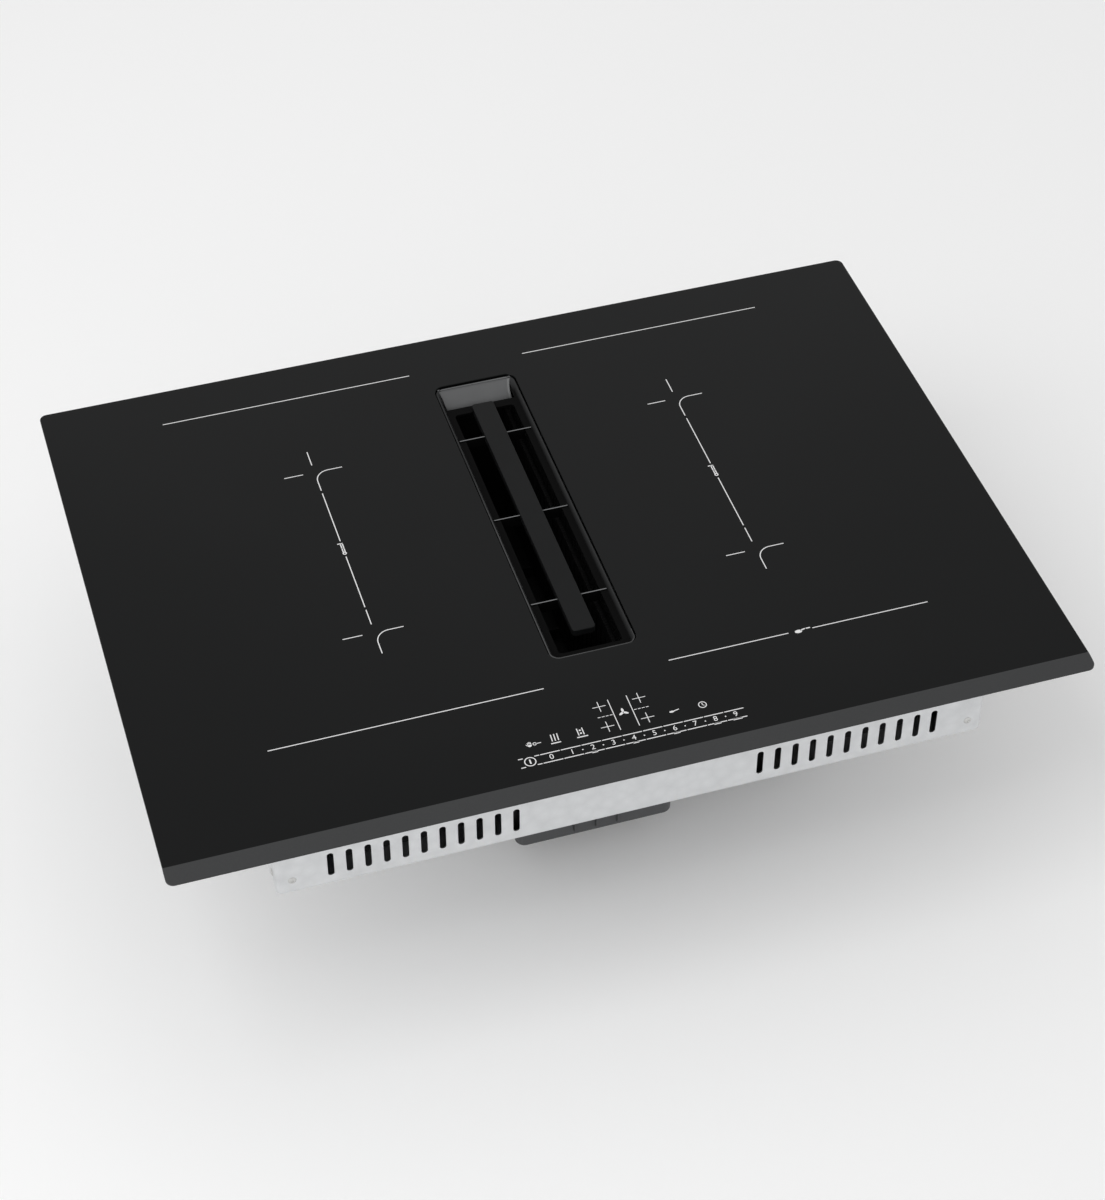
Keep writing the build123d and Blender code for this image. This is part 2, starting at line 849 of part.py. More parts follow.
with BuildPart() as scroll_housing:
    with BuildSketch(Plane.XY.offset(deck_top_z)):
        add(box_plan.sketch)
    extrude(amount=box_top_z - deck_top_z)
    top_edges = scroll_housing.faces().sort_by(Axis.Z)[-1].edges()
    fillet(top_edges.filter_by(lambda e: e.center().Y < outlet_y - box_wall), mould_round)
    with BuildSketch(Plane.XY.offset(deck_top_z)):
        add(box_rim.sketch)
    extrude(amount=joint_thick)
    with BuildSketch(Plane.XY.offset(deck_top_z)):
        with Locations(*box_boss_at):
            Circle(boss_radius)
    extrude(amount=boss_height)
    with BuildSketch(Plane.XY.offset(deck_top_z)):
        add(scroll_plan.sketch)
    extrude(amount=scroll_height, mode=Mode.SUBTRACT)
    hollow(
        deck_top_z,
        2 * (chamber_half - box_wall),
        chamber_length - 2 * box_wall,
        chamber_corner - box_wall,
        scroll_height,
        (0, chamber_mid_y),
    )
    hollow(scroll_top_z, throat_width, throat_length, throat_corner, box_wall, (0, well_y))
    with BuildSketch(Plane.XY.offset(scroll_top_z)):
        with Locations(fan_centre):
            Circle(motor_radius + motor_hole_gap)
    extrude(amount=box_wall, mode=Mode.SUBTRACT)
    # spacer bosses that carry the box under the tray
    with BuildSketch(Plane.XY.offset(box_top_z)):
        with Locations(*top_boss_at):
            Circle(top_boss_radius)
    extrude(amount=top_boss_height)
    with BuildSketch(Plane.XY.offset(scroll_top_z)):
        with Locations(*top_boss_at):
            Circle(screw_radius + press_gap)
    extrude(amount=box_wall + top_boss_height, mode=Mode.SUBTRACT)
    with BuildSketch(Plane.XY.offset(deck_top_z)):
        with Locations(*box_boss_at):
            Circle(screw_radius + press_gap)
    extrude(amount=boss_height - boss_cap, mode=Mode.SUBTRACT)
finish(scroll_housing, "scroll_housing")

slot_width = 8.0
slot_bays = 3
slot_bay = (filter_length - (slot_bays + 1) * filter_post) / slot_bays
slot_land = 1.5
slot_x = chamber_half - box_wall - slot_width / 2 - slot_land

with BuildPart() as fan_deck:
    with BuildSketch(Plane.XY.offset(deck_z)):
        add(deck_rim.sketch)
    extrude(amount=deck_thick)
    with BuildSketch(Plane.XY.offset(deck_z)):
        with Locations(*box_boss_at):
            Circle(boss_radius)
    extrude(amount=deck_thick)
    with BuildSketch(Plane.XY.offset(deck_z)):
        with Locations(fan_centre):
            Circle(throat_radius + lip_height + slide_gap)
    extrude(amount=deck_thick, mode=Mode.SUBTRACT)
    # slots outside the odour filters, and the drain
    with BuildSketch(Plane.XY.offset(deck_z)):
        with Locations((-slot_x, well_y), (slot_x, well_y)):
            with GridLocations(1, slot_bay + filter_post, 1, slot_bays):
                SlotOverall(slot_bay, slot_width, rotation=90)
        with Locations((0, well_y)):
            Circle(drain_radius)
        with Locations(*box_boss_at):
            Circle(screw_radius + screw_gap)
    extrude(amount=deck_thick, mode=Mode.SUBTRACT)
    # bell-mouth ring of the fan inlet, dropped into the deck from above
    with BuildSketch(Plane.XZ.offset(-fan_y)):
        with BuildLine():
            throat_x = fan_x + throat_radius
            bend = (throat_x + lip_height, deck_z + lip_height)
            lip_top_z = deck_top_z + lip_height
            CenterArc(bend, lip_height, 180, 90)
            CenterArc(bend, lip_height - lip_wall, 180, 90)
            Line((bend[0], deck_z), (bend[0], deck_z + lip_wall))
            Polyline(
                (throat_x, bend[1]),
                (throat_x, lip_top_z),
                (throat_x + lip_wall, lip_top_z),
                (throat_x + lip_wall, bend[1]),
            )
        make_face()
        with BuildLine():
            seat_x = throat_x + 1.5 * lip_wall
            seat_z = deck_top_z + slide_gap
            Polyline(
                (seat_x, seat_z),
                (bend[0] + lip_flange, seat_z),
                (bend[0] + lip_flange, seat_z + 0.75 * lip_wall),
                (seat_x, seat_z + 0.75 * lip_wall),
                (seat_x, seat_z),
            )
        make_face()
    revolve(axis=Axis((fan_x, fan_y, 0), (0, 0, 1)))
finish(fan_deck, "fan_deck")

bay_width = tank_width + 2 * slide_gap
bay_depth = tank_length + 2 * slide_gap
tube_radius = drain_radius + drain_wall
foot_radius = 9.0
foot_front = (-20.0, -78.0)
foot_rear = (60.0, 50.0)
foot_at = (
    (fan_x + foot_front[0], fan_y + foot_front[1]),
    (fan_x + foot_rear[0], fan_y + foot_rear[1]),
)
notch_length = 70.0
notch_height = 36.0
drain_reach = 10.0
drain_flange = 4.0

with BuildPart() as plenum_pan:
    with BuildSketch(Plane.XY.offset(pan_z)):
        add(pan_plan.sketch)
    extrude(amount=plenum_height)
    fillet(plenum_pan.faces().sort_by(Axis.Z)[0].edges(), mould_round)
    with BuildSketch(Plane.XY.offset(deck_z - joint_thick)):
        add(pan_rim.sketch)
    extrude(amount=joint_thick)
    with BuildSketch(Plane.XY.offset(deck_z - boss_drop)):
        with Locations(*box_boss_at):
            Circle(boss_radius)
    extrude(amount=boss_drop)
    with BuildSketch(Plane.XY.offset(pan_z + box_wall)):
        add(pan_plan.sketch)
        offset(amount=-box_wall)
    extrude(amount=plenum_height - box_wall, mode=Mode.SUBTRACT)
    with BuildSketch(Plane.XY.offset(deck_z - boss_drop)):
        with Locations(*box_boss_at):
            Circle(screw_radius + screw_gap)
    extrude(amount=boss_drop, mode=Mode.SUBTRACT)
    # skirt of the tank bay and the feet under the fan
    with BuildSketch(Plane.XY):
        with Locations((0, well_y)):
            RectangleRounded(bay_width + 2 * bay_wall, bay_depth + 2 * bay_wall, tank_corner + bay_wall)
            RectangleRounded(bay_width, bay_depth, tank_corner, mode=Mode.SUBTRACT)
        with Locations(*foot_at):
            Circle(foot_radius)
    extrude(amount=pan_z)
    # finger notches in the front and the rear of the skirt
    with BuildSketch(Plane.XZ):
        SlotOverall(notch_length, notch_height)
    extrude(amount=cutout_depth, both=True, mode=Mode.SUBTRACT)
    with BuildSketch(Plane.XY.offset(pan_z)):
        with Locations((0, well_y)):
            Circle(tube_radius + slide_gap)
    extrude(amount=box_wall, mode=Mode.SUBTRACT)
finish(plenum_pan, "plenum_pan")

drain_end_z = pan_z - drain_reach
with BuildPart() as drain_tube:
    with BuildSketch(Plane.XY.offset(drain_end_z)):
        with Locations((0, well_y)):
            Circle(tube_radius)
    extrude(amount=deck_z - drain_end_z)
    with BuildSketch(Plane.XY.offset(deck_z - drain_wall)):
        with Locations((0, well_y)):
            Circle(tube_radius + drain_flange)
    extrude(amount=drain_wall)
    with BuildSketch(Plane.XY.offset(drain_end_z)):
        with Locations((0, well_y)):
            Circle(drain_radius)
    extrude(amount=deck_z - drain_end_z, mode=Mode.SUBTRACT)
finish(drain_tube, "drain_tube")

tank_top_z = pan_z - slide_gap
with BuildPart() as overflow_tank:
    slab(tank_foot_gap, tank_width, tank_length, tank_corner, tank_top_z - tank_foot_gap, (0, well_y))
    fillet(overflow_tank.faces().sort_by(Axis.Z)[0].edges(), tank_round)
    hollow(
        tank_foot_gap + tank_wall,
        tank_width - 2 * tank_wall,
        tank_length - 2 * tank_wall,
        tank_corner - tank_wall,
        tank_top_z - tank_foot_gap - tank_wall,
        (0, well_y),
    )
    tank_floor_z = tank_foot_gap + tank_wall
    tank_floor = overflow_tank.edges().filter_by(lambda e: abs(e.center().Z - tank_floor_z) < run_gap)
    fillet(tank_floor, tank_round - tank_wall)
    # grip bars for the fingers
    with BuildSketch(Plane.XY.offset(tank_foot_gap + tank_wall)):
        with Locations((0, well_y)):
            with GridLocations(1, tank_length - 2 * grip_inset, 1, 2):
                Rectangle(tank_width - 2 * tank_wall, tank_wall)
    extrude(amount=grip_height)
finish(overflow_tank, "overflow_tank")

lid_z = tank_top_z - lid_thick
with BuildPart() as tank_lid:
    slab(
        lid_z,
        tank_width - 2 * tank_wall - 2 * press_gap,
        tank_length - 2 * tank_wall - 2 * press_gap,
        tank_corner - tank_wall,
        lid_thick,
        (0, well_y),
    )
    with BuildSketch(Plane.XY.offset(lid_z)):
        with Locations((0, well_y)):
            Circle(tube_radius + lid_hole_gap)
    extrude(amount=lid_thick, mode=Mode.SUBTRACT)
finish(tank_lid, "tank_lid")

screw_bite = 8.0
box_screw_length = boss_drop + deck_thick + screw_bite
with BuildPart() as box_screws:
    for x, y in box_boss_at:
        screw(Plane((x, y, deck_z - boss_drop), z_dir=(0, 0, -1)), box_screw_length)
    for x, y in top_boss_at:
        screw(Plane((x, y, tray_floor_z)), tray_sheet + top_boss_height + box_wall - slide_gap)
finish(box_screws, "box_screws")

duct_z = (deck_top_z + box_top_z) / 2
duct_x = wall_right - duct_width / 2
rear = Plane((duct_x, outlet_y, duct_z), x_dir=(1, 0, 0), z_dir=(0, -1, 0))
with BuildPart() as duct_spigot:
    with BuildSketch(rear):
        Rectangle(duct_width, box_top_z - deck_top_z)
    extrude(amount=-spigot_flange)
    with BuildSketch(rear):
        RectangleRounded(duct_width, duct_height, duct_corner)
    extrude(amount=-spigot_flange - duct_length)
    chamfer(duct_spigot.faces().sort_by(Axis.Y)[-1].edges(), spigot_lead)
    with BuildSketch(rear):
        RectangleRounded(duct_width - 2 * box_wall, duct_height - 2 * box_wall, duct_corner - box_wall)
    extrude(amount=-spigot_flange - duct_length, mode=Mode.SUBTRACT)
finish(duct_spigot, "duct_spigot")


def odour_filter(side, half, name):
    """One activated-carbon cassette, standing on the deck beside the filter unit."""
    length = (chamber_length - 2 * box_wall) / 2 - cassette_gap
    centre_y = chamber_mid_y + half * (length + cassette_gap) / 2
    centre_x = side * (chamber_half - box_wall - cassette_inset - cassette_thick / 2)
    with BuildPart() as cassette:
        slab(
            deck_top_z,
            cassette_thick,
            length,
            cassette_corner,
            cassette_height,
            (centre_x, centre_y),
        )
        # recessed grids on both faces
        for face in (-1, 1):
            with BuildSketch(Plane.YZ.offset(centre_x + face * cassette_thick / 2)) as grid:
                with Locations((centre_y, deck_top_z + cassette_height / 2)):
                    with GridLocations(length / grid_bays, 1, grid_bays, 1):
                        Rectangle(length / grid_bays - grid_bar, cassette_height - 2 * grid_frame)
            extrude(grid.sketch, amount=-face * cassette_grid, mode=Mode.SUBTRACT)
    finish(cassette, name)


odour_filter(-1, -1, "odour_filter_left_front")
odour_filter(-1, 1, "odour_filter_left_rear")
odour_filter(1, -1, "odour_filter_right_front")
odour_filter(1, 1, "odour_filter_right_rear")

# ================================================================== extraction fan
motor_top_z = box_top_z
motor_z = motor_top_z - motor_height

with BuildPart() as motor_plate:
    with BuildSketch(Plane.XY.offset(motor_top_z)):
        with Locations(fan_centre):
            Circle(motor_plate_radius)
    extrude(amount=motor_plate_thick)
finish(motor_plate, "motor_plate")

with BuildPart() as fan_motor:
    with BuildSketch(Plane.XY.offset(motor_z)):
        with Locations(fan_centre):
            Circle(motor_radius)
    extrude(amount=motor_height)
    fillet(fan_motor.faces().sort_by(Axis.Z)[0].edges(), motor_round)
    with BuildSketch(Plane.XY.offset(motor_z)):
        with Locations(fan_centre):
            Circle(motor_shaft_radius + run_gap)
    extrude(amount=motor_height - motor_cap, mode=Mode.SUBTRACT)
finish(fan_motor, "fan_motor")

shaft_z = motor_z - shaft_reach
with BuildPart() as motor_shaft:
    with BuildSketch(Plane.XY.offset(shaft_z)):
        with Locations(fan_centre):
            Circle(motor_shaft_radius)
    extrude(amount=shaft_reach + motor_height - motor_cap - rim_gap)
finish(motor_shaft, "motor_shaft")

blade_top_z = wheel_z + wheel_height
dish_z = motor_z - dish_gap
dish_radius = motor_radius + dish_flare
hub_bore = motor_shaft_radius + press_gap
with BuildSketch() as blade_plan:
    with BuildLine():
        face_line = RadiusArc(
            (wheel_eye + blade_inset, 0),
            (wheel_radius - blade_inset, blade_sweep),
            blade_bend,
        )
        offset(face_line, amount=blade_thick, side=Side.LEFT, closed=True)
    make_face()

with BuildPart() as fan_wheel:
    # dished back plate with the hub: the motor sits in the dish
    with BuildSketch(Plane.XZ.offset(-fan_y)):
        with BuildLine():
            Polyline(
                (fan_x + wheel_radius, blade_top_z),
                (fan_x + wheel_radius, blade_top_z + dish_wall),
                (fan_x + dish_radius, blade_top_z + dish_wall),
                (fan_x + motor_radius, dish_z),
                (fan_x + hub_bore, dish_z),
                (fan_x + hub_bore, shaft_z + rim_gap),
                (fan_x + hub_radius, shaft_z + rim_gap),
                (fan_x + hub_radius, dish_z - dish_wall),
                (fan_x + motor_radius + dish_wall, dish_z - dish_wall),
                (fan_x + dish_radius + dish_wall, blade_top_z),
                (fan_x + wheel_radius, blade_top_z),
            )
        make_face()
    revolve(axis=Axis((fan_x, fan_y, 0), (0, 0, 1)))
    # shroud ring round the eye
    with BuildSketch(Plane.XY.offset(wheel_z)):
        with Locations(fan_centre):
            Circle(wheel_radius)
            Circle(wheel_eye, mode=Mode.SUBTRACT)
    extrude(amount=dish_wall)
    # forward-curved blades
    with BuildSketch(Plane.XY.offset(wheel_z)):
        with Locations(fan_centre):
            with PolarLocations(0, blade_count):
                add(blade_plan.sketch)
    extrude(amount=wheel_height)
finish(fan_wheel, "fan_wheel")

# ================================================================== cooking zones
mica_z = glass_z - mica_thick
coil_z = mica_z - coil_thick
former_z = coil_z - former_thick
ferrite_z = former_z - ferrite_thick
carrier_z = ferrite_z - carrier_thick
zone_edge = 4.0
zone_length = zone_pitch + coil_length + 4 * zone_edge
coil_width = zone_width - 2 * zone_edge
coil_step = (coil_width - coil_hole_x) / (2 * coil_turn_count)
coil_hole_corner = 12.0
turn_corner_step = 6.0
turn_groove = 0.8
former_lip = 6.0
lead_slot_x = 50.0
lead_slot_length = 22.0
lead_slot_width = 9.0
sensor_base_length = 40.0
sensor_base_width = 12.0
sensor_base_thick = 1.5
side_name = {-1: "left", 1: "right"}
end_name = {-1: "front", 1: "rear"}
zone_centres = [
    (side * zone_x, zone_y + end * zone_pitch / 2) for side in (-1, 1) for end in (-1, 1)
]

for side in (-1, 1):
    middle = (side * zone_x, zone_y)
    with BuildPart() as mica_sheet:
        slab(mica_z, zone_width, zone_length, zone_edge, mica_thick, middle)
        with BuildSketch(Plane.XY.offset(mica_z)):
            with Locations(middle):
                with GridLocations(1, zone_pitch, 1, 2):
                    Circle(sensor_radius + rim_gap)
        extrude(amount=mica_thick, mode=Mode.SUBTRACT)
    finish(mica_sheet, f"mica_sheet_{side_name[side]}")

    with BuildPart() as coil_carrier:
        slab(carrier_z, zone_width, zone_length, zone_edge, carrier_thick, middle)
        # upturned stiffening edges along both long sides
        with BuildSketch(Plane.XY.offset(carrier_z)):
            with Locations(middle):
                with GridLocations(zone_width - carrier_thick, 1, 2, 1):
                    Rectangle(carrier_thick, zone_length - 4 * zone_edge)
        extrude(amount=coil_z - carrier_z)
        # slots for the coil leads
        with BuildSketch(Plane.XY.offset(carrier_z)):
            with Locations(middle):
                with GridLocations(2 * lead_slot_x, zone_pitch, 2, 2):
                    SlotOverall(lead_slot_length, lead_slot_width)
        extrude(amount=carrier_thick, mode=Mode.SUBTRACT)
    finish(coil_carrier, f"coil_carrier_{side_name[side]}")

    for end in (-1, 1):
        centre = (side * zone_x, zone_y + end * zone_pitch / 2)
        with BuildPart() as induction_coil:
            slab(coil_z, coil_width, coil_length, coil_corner, coil_thick, centre)
            hollow(coil_z, coil_hole_x, coil_hole_y, coil_hole_corner, coil_thick, centre)
            # the winding shows as bundles of turns with grooves between them
            for turn in range(1, coil_turn_count):
                turn_x = coil_hole_x + 2 * turn * coil_step
                turn_y = coil_hole_y + 2 * turn * coil_step
                turn_corner = coil_hole_corner + turn * turn_corner_step
                with BuildSketch(Plane.XY.offset(mica_z)):
                    with Locations(centre):
                        RectangleRounded(turn_x, turn_y, turn_corner)
                        RectangleRounded(
                            turn_x - 2 * turn_groove,
                            turn_y - 2 * turn_groove,
                            turn_corner - turn_groove,
                            mode=Mode.SUBTRACT,
                        )
                extrude(amount=-turn_groove, mode=Mode.SUBTRACT)
        finish(induction_coil, f"induction_coil_{side_name[side]}_{end_name[end]}")

with BuildPart() as coil_formers:
    for centre in zone_centres:
        slab(former_z, coil_width, coil_length, coil_corner, former_thick, centre)
        hollow(
            former_z,
            coil_hole_x - 2 * former_lip,
            coil_hole_y - 2 * former_lip,
            coil_hole_corner,
            former_thick,
            centre,
        )
finish(coil_formers, "coil_formers")

ferrite_count = 8
ferrite_ring = 62.0
with BuildPart() as ferrite_bars:
    for centre in zone_centres:
        with BuildSketch(Plane.XY.offset(ferrite_z)):
            with Locations(centre):
                with PolarLocations(ferrite_ring, ferrite_count, start_angle=180 / ferrite_count):
                    Rectangle(ferrite_length, ferrite_width)
        extrude(amount=ferrite_thick)
finish(ferrite_bars, "ferrite_bars")

with BuildPart() as zone_sensors:
    for centre in zone_centres:
        with BuildSketch(Plane.XY.offset(ferrite_z)):
            with Locations(centre):
                Rectangle(sensor_base_length, sensor_base_width)
        extrude(amount=sensor_base_thick)
        with BuildSketch(Plane.XY.offset(ferrite_z)):
            with Locations(centre):
                Circle(sensor_radius)
        extrude(amount=glass_z - ferrite_z)
finish(zone_sensors, "zone_sensors")

# spring brackets that press each coil carrier up against the glass
bracket_width = 14.0
bracket_sheet = 1.0
bracket_foot = 18.0
bracket_lean = 20.0
bracket_x = 49.0
bracket_at_y = (-90.0, 176.0)
with BuildPart() as carrier_springs:
    for side in (-1, 1):
        for at_y in bracket_at_y:
            for half in (-1, 1):
                foot_x = side * zone_x + half * bracket_x
                top_x = foot_x + half * bracket_lean
                with BuildSketch(Plane.XZ.offset(-at_y + bracket_width / 2)):
                    with BuildLine():
                        Polyline(
                            (foot_x - half * bracket_foot, tray_floor_z),
                            (foot_x, tray_floor_z),
                            (top_x, carrier_z - bracket_sheet),
                            (top_x + half * bracket_foot, carrier_z - bracket_sheet),
                            (top_x + half * bracket_foot, carrier_z),
                            (top_x - half * bracket_sheet, carrier_z),
                            (foot_x - half * bracket_sheet, tray_floor_z + bracket_sheet),
                            (foot_x - half * bracket_foot, tray_floor_z + bracket_sheet),
                            (foot_x - half * bracket_foot, tray_floor_z),
                        )
                    make_face()
                extrude(amount=-bracket_width)
finish(carrier_springs, "carrier_springs")

# ================================================================== electronics
board_z = tray_floor_z + standoff_height
board_top_z = board_z + board_thick
board_x = zone_x + 4.0
board_corner = 3.0
standoff_radius = 4.0
standoff_inset = 8.0
mains_board_at = (-130.0, 208.0)
mains_board_x = 100.0
mains_board_y = 46.0
with BuildPart() as board_standoffs:
    with BuildSketch(Plane.XY.offset(tray_floor_z)):
        with Locations((-board_x, board_y), (board_x, board_y)):
            with GridLocations(
                board_width - 2 * standoff_inset, board_length - 2 * standoff_inset, 2, 2
            ):
                RegularPolygon(standoff_radius, 6)
        with Locations(mains_board_at):
            with GridLocations(
                mains_board_x - 2 * standoff_inset, mains_board_y - 2 * standoff_inset, 2, 2
            ):
                RegularPolygon(standoff_radius, 6)
    extrude(amount=standoff_height)
finish(board_standoffs, "board_standoffs")

heatsink_at_x = 36.0
heatsink_length = 180.0
heatsink_base = 4.0
capacitor_x = -46.0
capacitor_width = 34.0
capacitor_length = 26.0
capacitor_height = 24.0
capacitor_corner = 2.0
capacitor_pitch = 40.0
capacitor_rows = 3
capacitor_y = -20.0
choke_at = ((-46.0, 66.0), (-10.0, 74.0))
choke_radius = 15.0
choke_hole = 6.0
choke_height = 14.0
cooler_corner = 8.0
cooler_roof = 2.0
cooler_pin = 3.0
cooler_pin_length = 8.0
cooler_floor_gap = 2.0
cooler_disc = 1.5
cooler_blade = 1.0
cooler_blade_depth = 9.0
cooler_blade_lean = 30.0
cooler_hub = 10.0
cooler_hub_height = 11.0
cooler_wheel_gap = 3.0
for side in (-1, 1):
    board_at = (side * board_x, board_y)
    with BuildPart() as power_board:
        slab(board_z, board_width, board_length, board_corner, board_thick, board_at)
    finish(power_board, f"power_board_{side_name[side]}")

    sink_at = (side * board_x + heatsink_at_x, board_y)
    with BuildPart() as heatsink:
        with BuildSketch(Plane.XY.offset(board_top_z)):
            with Locations(sink_at):
                Rectangle(heatsink_width, heatsink_length)
        extrude(amount=heatsink_base)
        with BuildSketch(Plane.XY.offset(board_top_z)):
            with Locations(sink_at):
                with GridLocations((heatsink_width - fin_thick) / (fin_count - 1), 1, fin_count, 1):
                    Rectangle(fin_thick, heatsink_length)
        extrude(amount=heatsink_height)
    finish(heatsink, f"heatsink_{side_name[side]}")

    with BuildPart() as power_parts:
        with BuildSketch(Plane.XY.offset(board_top_z)):
            with Locations((side * board_x + capacitor_x, board_y + capacitor_y)):
                with GridLocations(1, capacitor_pitch, 1, capacitor_rows):
                    RectangleRounded(capacitor_width, capacitor_length, capacitor_corner)
        extrude(amount=capacitor_height)
        with BuildSketch(Plane.XY.offset(board_top_z)):
            with Locations(board_at):
                with Locations(*choke_at):
                    Circle(choke_radius)
                    Circle(choke_hole, mode=Mode.SUBTRACT)
        extrude(amount=choke_height)
    finish(power_parts, f"power_parts_{side_name[side]}")

    # blower that draws air through the tray floor and pushes it over the heatsink
    cooler_at = (side * cooler_x, cooler_y)
    cooler_top_z = tray_floor_z + cooler_height
    wheel_disc_z = cooler_top_z - cooler_pin_length - cooler_disc
    with BuildPart() as cooler_housing:
        slab(tray_floor_z, cooler_size, cooler_size, cooler_corner, cooler_height, cooler_at)
        with BuildSketch(Plane.XY.offset(tray_floor_z)):
            with Locations(cooler_at):
                Circle(cooler_wheel_radius + cooler_wheel_gap)
                Rectangle(
                    cooler_size - 2 * cooler_corner,
                    cooler_size / 2 + 1,
                    align=(Align.CENTER, Align.MIN),
                )
        extrude(amount=cooler_height - cooler_roof, mode=Mode.SUBTRACT)
        # bearing pin under the roof
        with BuildSketch(Plane.XY.offset(cooler_top_z)):
            with Locations(cooler_at):
                Circle(cooler_pin)
        extrude(amount=-cooler_pin_length - cooler_hub_height)
    finish(cooler_housing, f"cooler_housing_{side_name[side]}")

    with BuildPart() as cooler_wheel:
        with BuildSketch(Plane.XY.offset(wheel_disc_z)):
            with Locations(cooler_at):
                Circle(cooler_wheel_radius)
        extrude(amount=cooler_disc)
        with BuildSketch(Plane.XY.offset(tray_floor_z + cooler_floor_gap)):
            with Locations(cooler_at):
                with PolarLocations(cooler_wheel_radius - cooler_blade_depth / 2, cooler_blades):
                    Rectangle(cooler_blade_depth, cooler_blade, rotation=cooler_blade_lean)
        extrude(amount=wheel_disc_z - tray_floor_z - cooler_floor_gap)
        with BuildSketch(Plane.XY.offset(wheel_disc_z)):
            with Locations(cooler_at):
                Circle(cooler_hub)
        extrude(amount=-cooler_hub_height + cooler_disc)
        with BuildSketch(Plane.XY.offset(tray_floor_z)):
            with Locations(cooler_at):
                Circle(cooler_pin + run_gap)
        extrude(amount=cooler_height, mode=Mode.SUBTRACT)
    finish(cooler_wheel, f"cooler_wheel_{side_name[side]}")

# touch control under the front of the glass
touch_z = glass_z - board_thick
touch_floor_z = touch_z - touch_depth
holder_length = touch_length + 2 * touch_wall
holder_width = touch_width + 2 * touch_wall
holder_foot = 8.0
key_pitch = 15.8
key_count = 11
key_row_gap = 18.0
key_width = 6.0
with BuildPart() as touch_board:
    slab(touch_z, touch_length, touch_width, touch_wall, board_thick, (0, touch_y))
finish(touch_board, "touch_board")

with BuildPart() as touch_holder:
    slab(touch_floor_z, holder_length, holder_width, board_corner, touch_depth, (0, touch_y))
    hollow(
        touch_floor_z + touch_wall,
        touch_length - touch_wall,
        touch_width - touch_wall,
        touch_wall,
        touch_depth,
        (0, touch_y),
    )
    # feet down to the tray floor
    with BuildSketch(Plane.XY.offset(tray_floor_z)):
        with Locations((0, touch_y)):
            with GridLocations(holder_length - holder_foot, holder_width - holder_foot, 2, 2):
                Rectangle(holder_foot, holder_foot)
    extrude(amount=touch_floor_z - tray_floor_z)
finish(touch_holder, "touch_holder")

with BuildPart() as light_guides:
    with BuildSketch(Plane.XY.offset(touch_floor_z + touch_wall)):
        with Locations((0, touch_y)):
            with GridLocations(key_pitch, key_row_gap, key_count, 2):
                Rectangle(key_width, key_width)
    extrude(amount=touch_depth - touch_wall)
finish(light_guides, "light_guides")

# ================================================================== mains inlet
ring_at = ((-30.0, 0.0), (12.0, 0.0))
ring_radius = 16.0
ring_hole = 7.0
ring_height = 16.0
filter_cap_x = 38.0
filter_cap_width = 14.0
filter_cap_length = 32.0
filter_cap_height = 20.0
terminal_offset = 33.0
terminal_width = 22.0
terminal_length = 52.0
terminal_height = 18.0
terminal_ways = 5
terminal_pitch = 10.0
terminal_slot_width = 7.0
terminal_slot_length = 14.0
terminal_slot_depth = 8.0
gland_nut = 4.5
gland_nut_thick = 5.0
with BuildPart() as mains_board:
    slab(board_z, mains_board_x, mains_board_y, board_corner, board_thick, mains_board_at)
finish(mains_board, "mains_board")

with BuildPart() as mains_parts:
    with BuildSketch(Plane.XY.offset(board_top_z)):
        with Locations(mains_board_at):
            with Locations(*ring_at):
                Circle(ring_radius)
                Circle(ring_hole, mode=Mode.SUBTRACT)
    extrude(amount=ring_height)
    with BuildSketch(Plane.XY.offset(board_top_z)):
        with Locations(mains_board_at):
            with Locations((filter_cap_x, 0)):
                Rectangle(filter_cap_width, filter_cap_length)
    extrude(amount=filter_cap_height)
finish(mains_parts, "mains_parts")

terminal_at = (gland_x - terminal_offset, gland_y)
with BuildPart() as terminal_block:
    with BuildSketch(Plane.XY.offset(tray_floor_z)):
        with Locations(terminal_at):
            Rectangle(terminal_width, terminal_length)
    extrude(amount=terminal_height)
    with BuildSketch(Plane.XY.offset(tray_floor_z + terminal_height)):
        with Locations(terminal_at):
            with GridLocations(1, terminal_pitch, 1, terminal_ways):
                Rectangle(terminal_slot_length, terminal_slot_width)
    extrude(amount=-terminal_slot_depth, mode=Mode.SUBTRACT)
finish(terminal_block, "terminal_block")

gland_low_z = tray_z - gland_length / 2
gland_outer = gland_radius + gland_wall
with BuildPart() as cable_gland:
    with BuildSketch(Plane.XY.offset(gland_low_z)):
        with Locations((gland_x, gland_y)):
            Circle(gland_outer)
    extrude(amount=gland_length)
    # nuts under and on the tray floor
    with BuildSketch(Plane.XY.offset(tray_z)):
        with Locations((gland_x, gland_y)):
            RegularPolygon(gland_outer + gland_nut, 6)
    extrude(amount=-gland_nut_thick)
    with BuildSketch(Plane.XY.offset(tray_floor_z)):
        with Locations((gland_x, gland_y)):
            RegularPolygon(gland_outer + gland_nut, 6)
    extrude(amount=gland_nut_thick)
    with BuildSketch(Plane.XY.offset(gland_low_z)):
        with Locations((gland_x, gland_y)):
            Circle(gland_radius)
    extrude(amount=gland_length, mode=Mode.SUBTRACT)
finish(cable_gland, "cable_gland")
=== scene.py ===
# %% [markdown]
# # A downdraft induction cooktop, dressed for its portrait
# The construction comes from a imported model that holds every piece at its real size. This
# script gives each piece its finish, prints the marks on the glass, rounds the edges that
# catch light, and sets up the studio. Everything is in metres: +X is the user's right, +Y is
# to the rear, and +Z is up.

# %% Load the frame
import math
import json

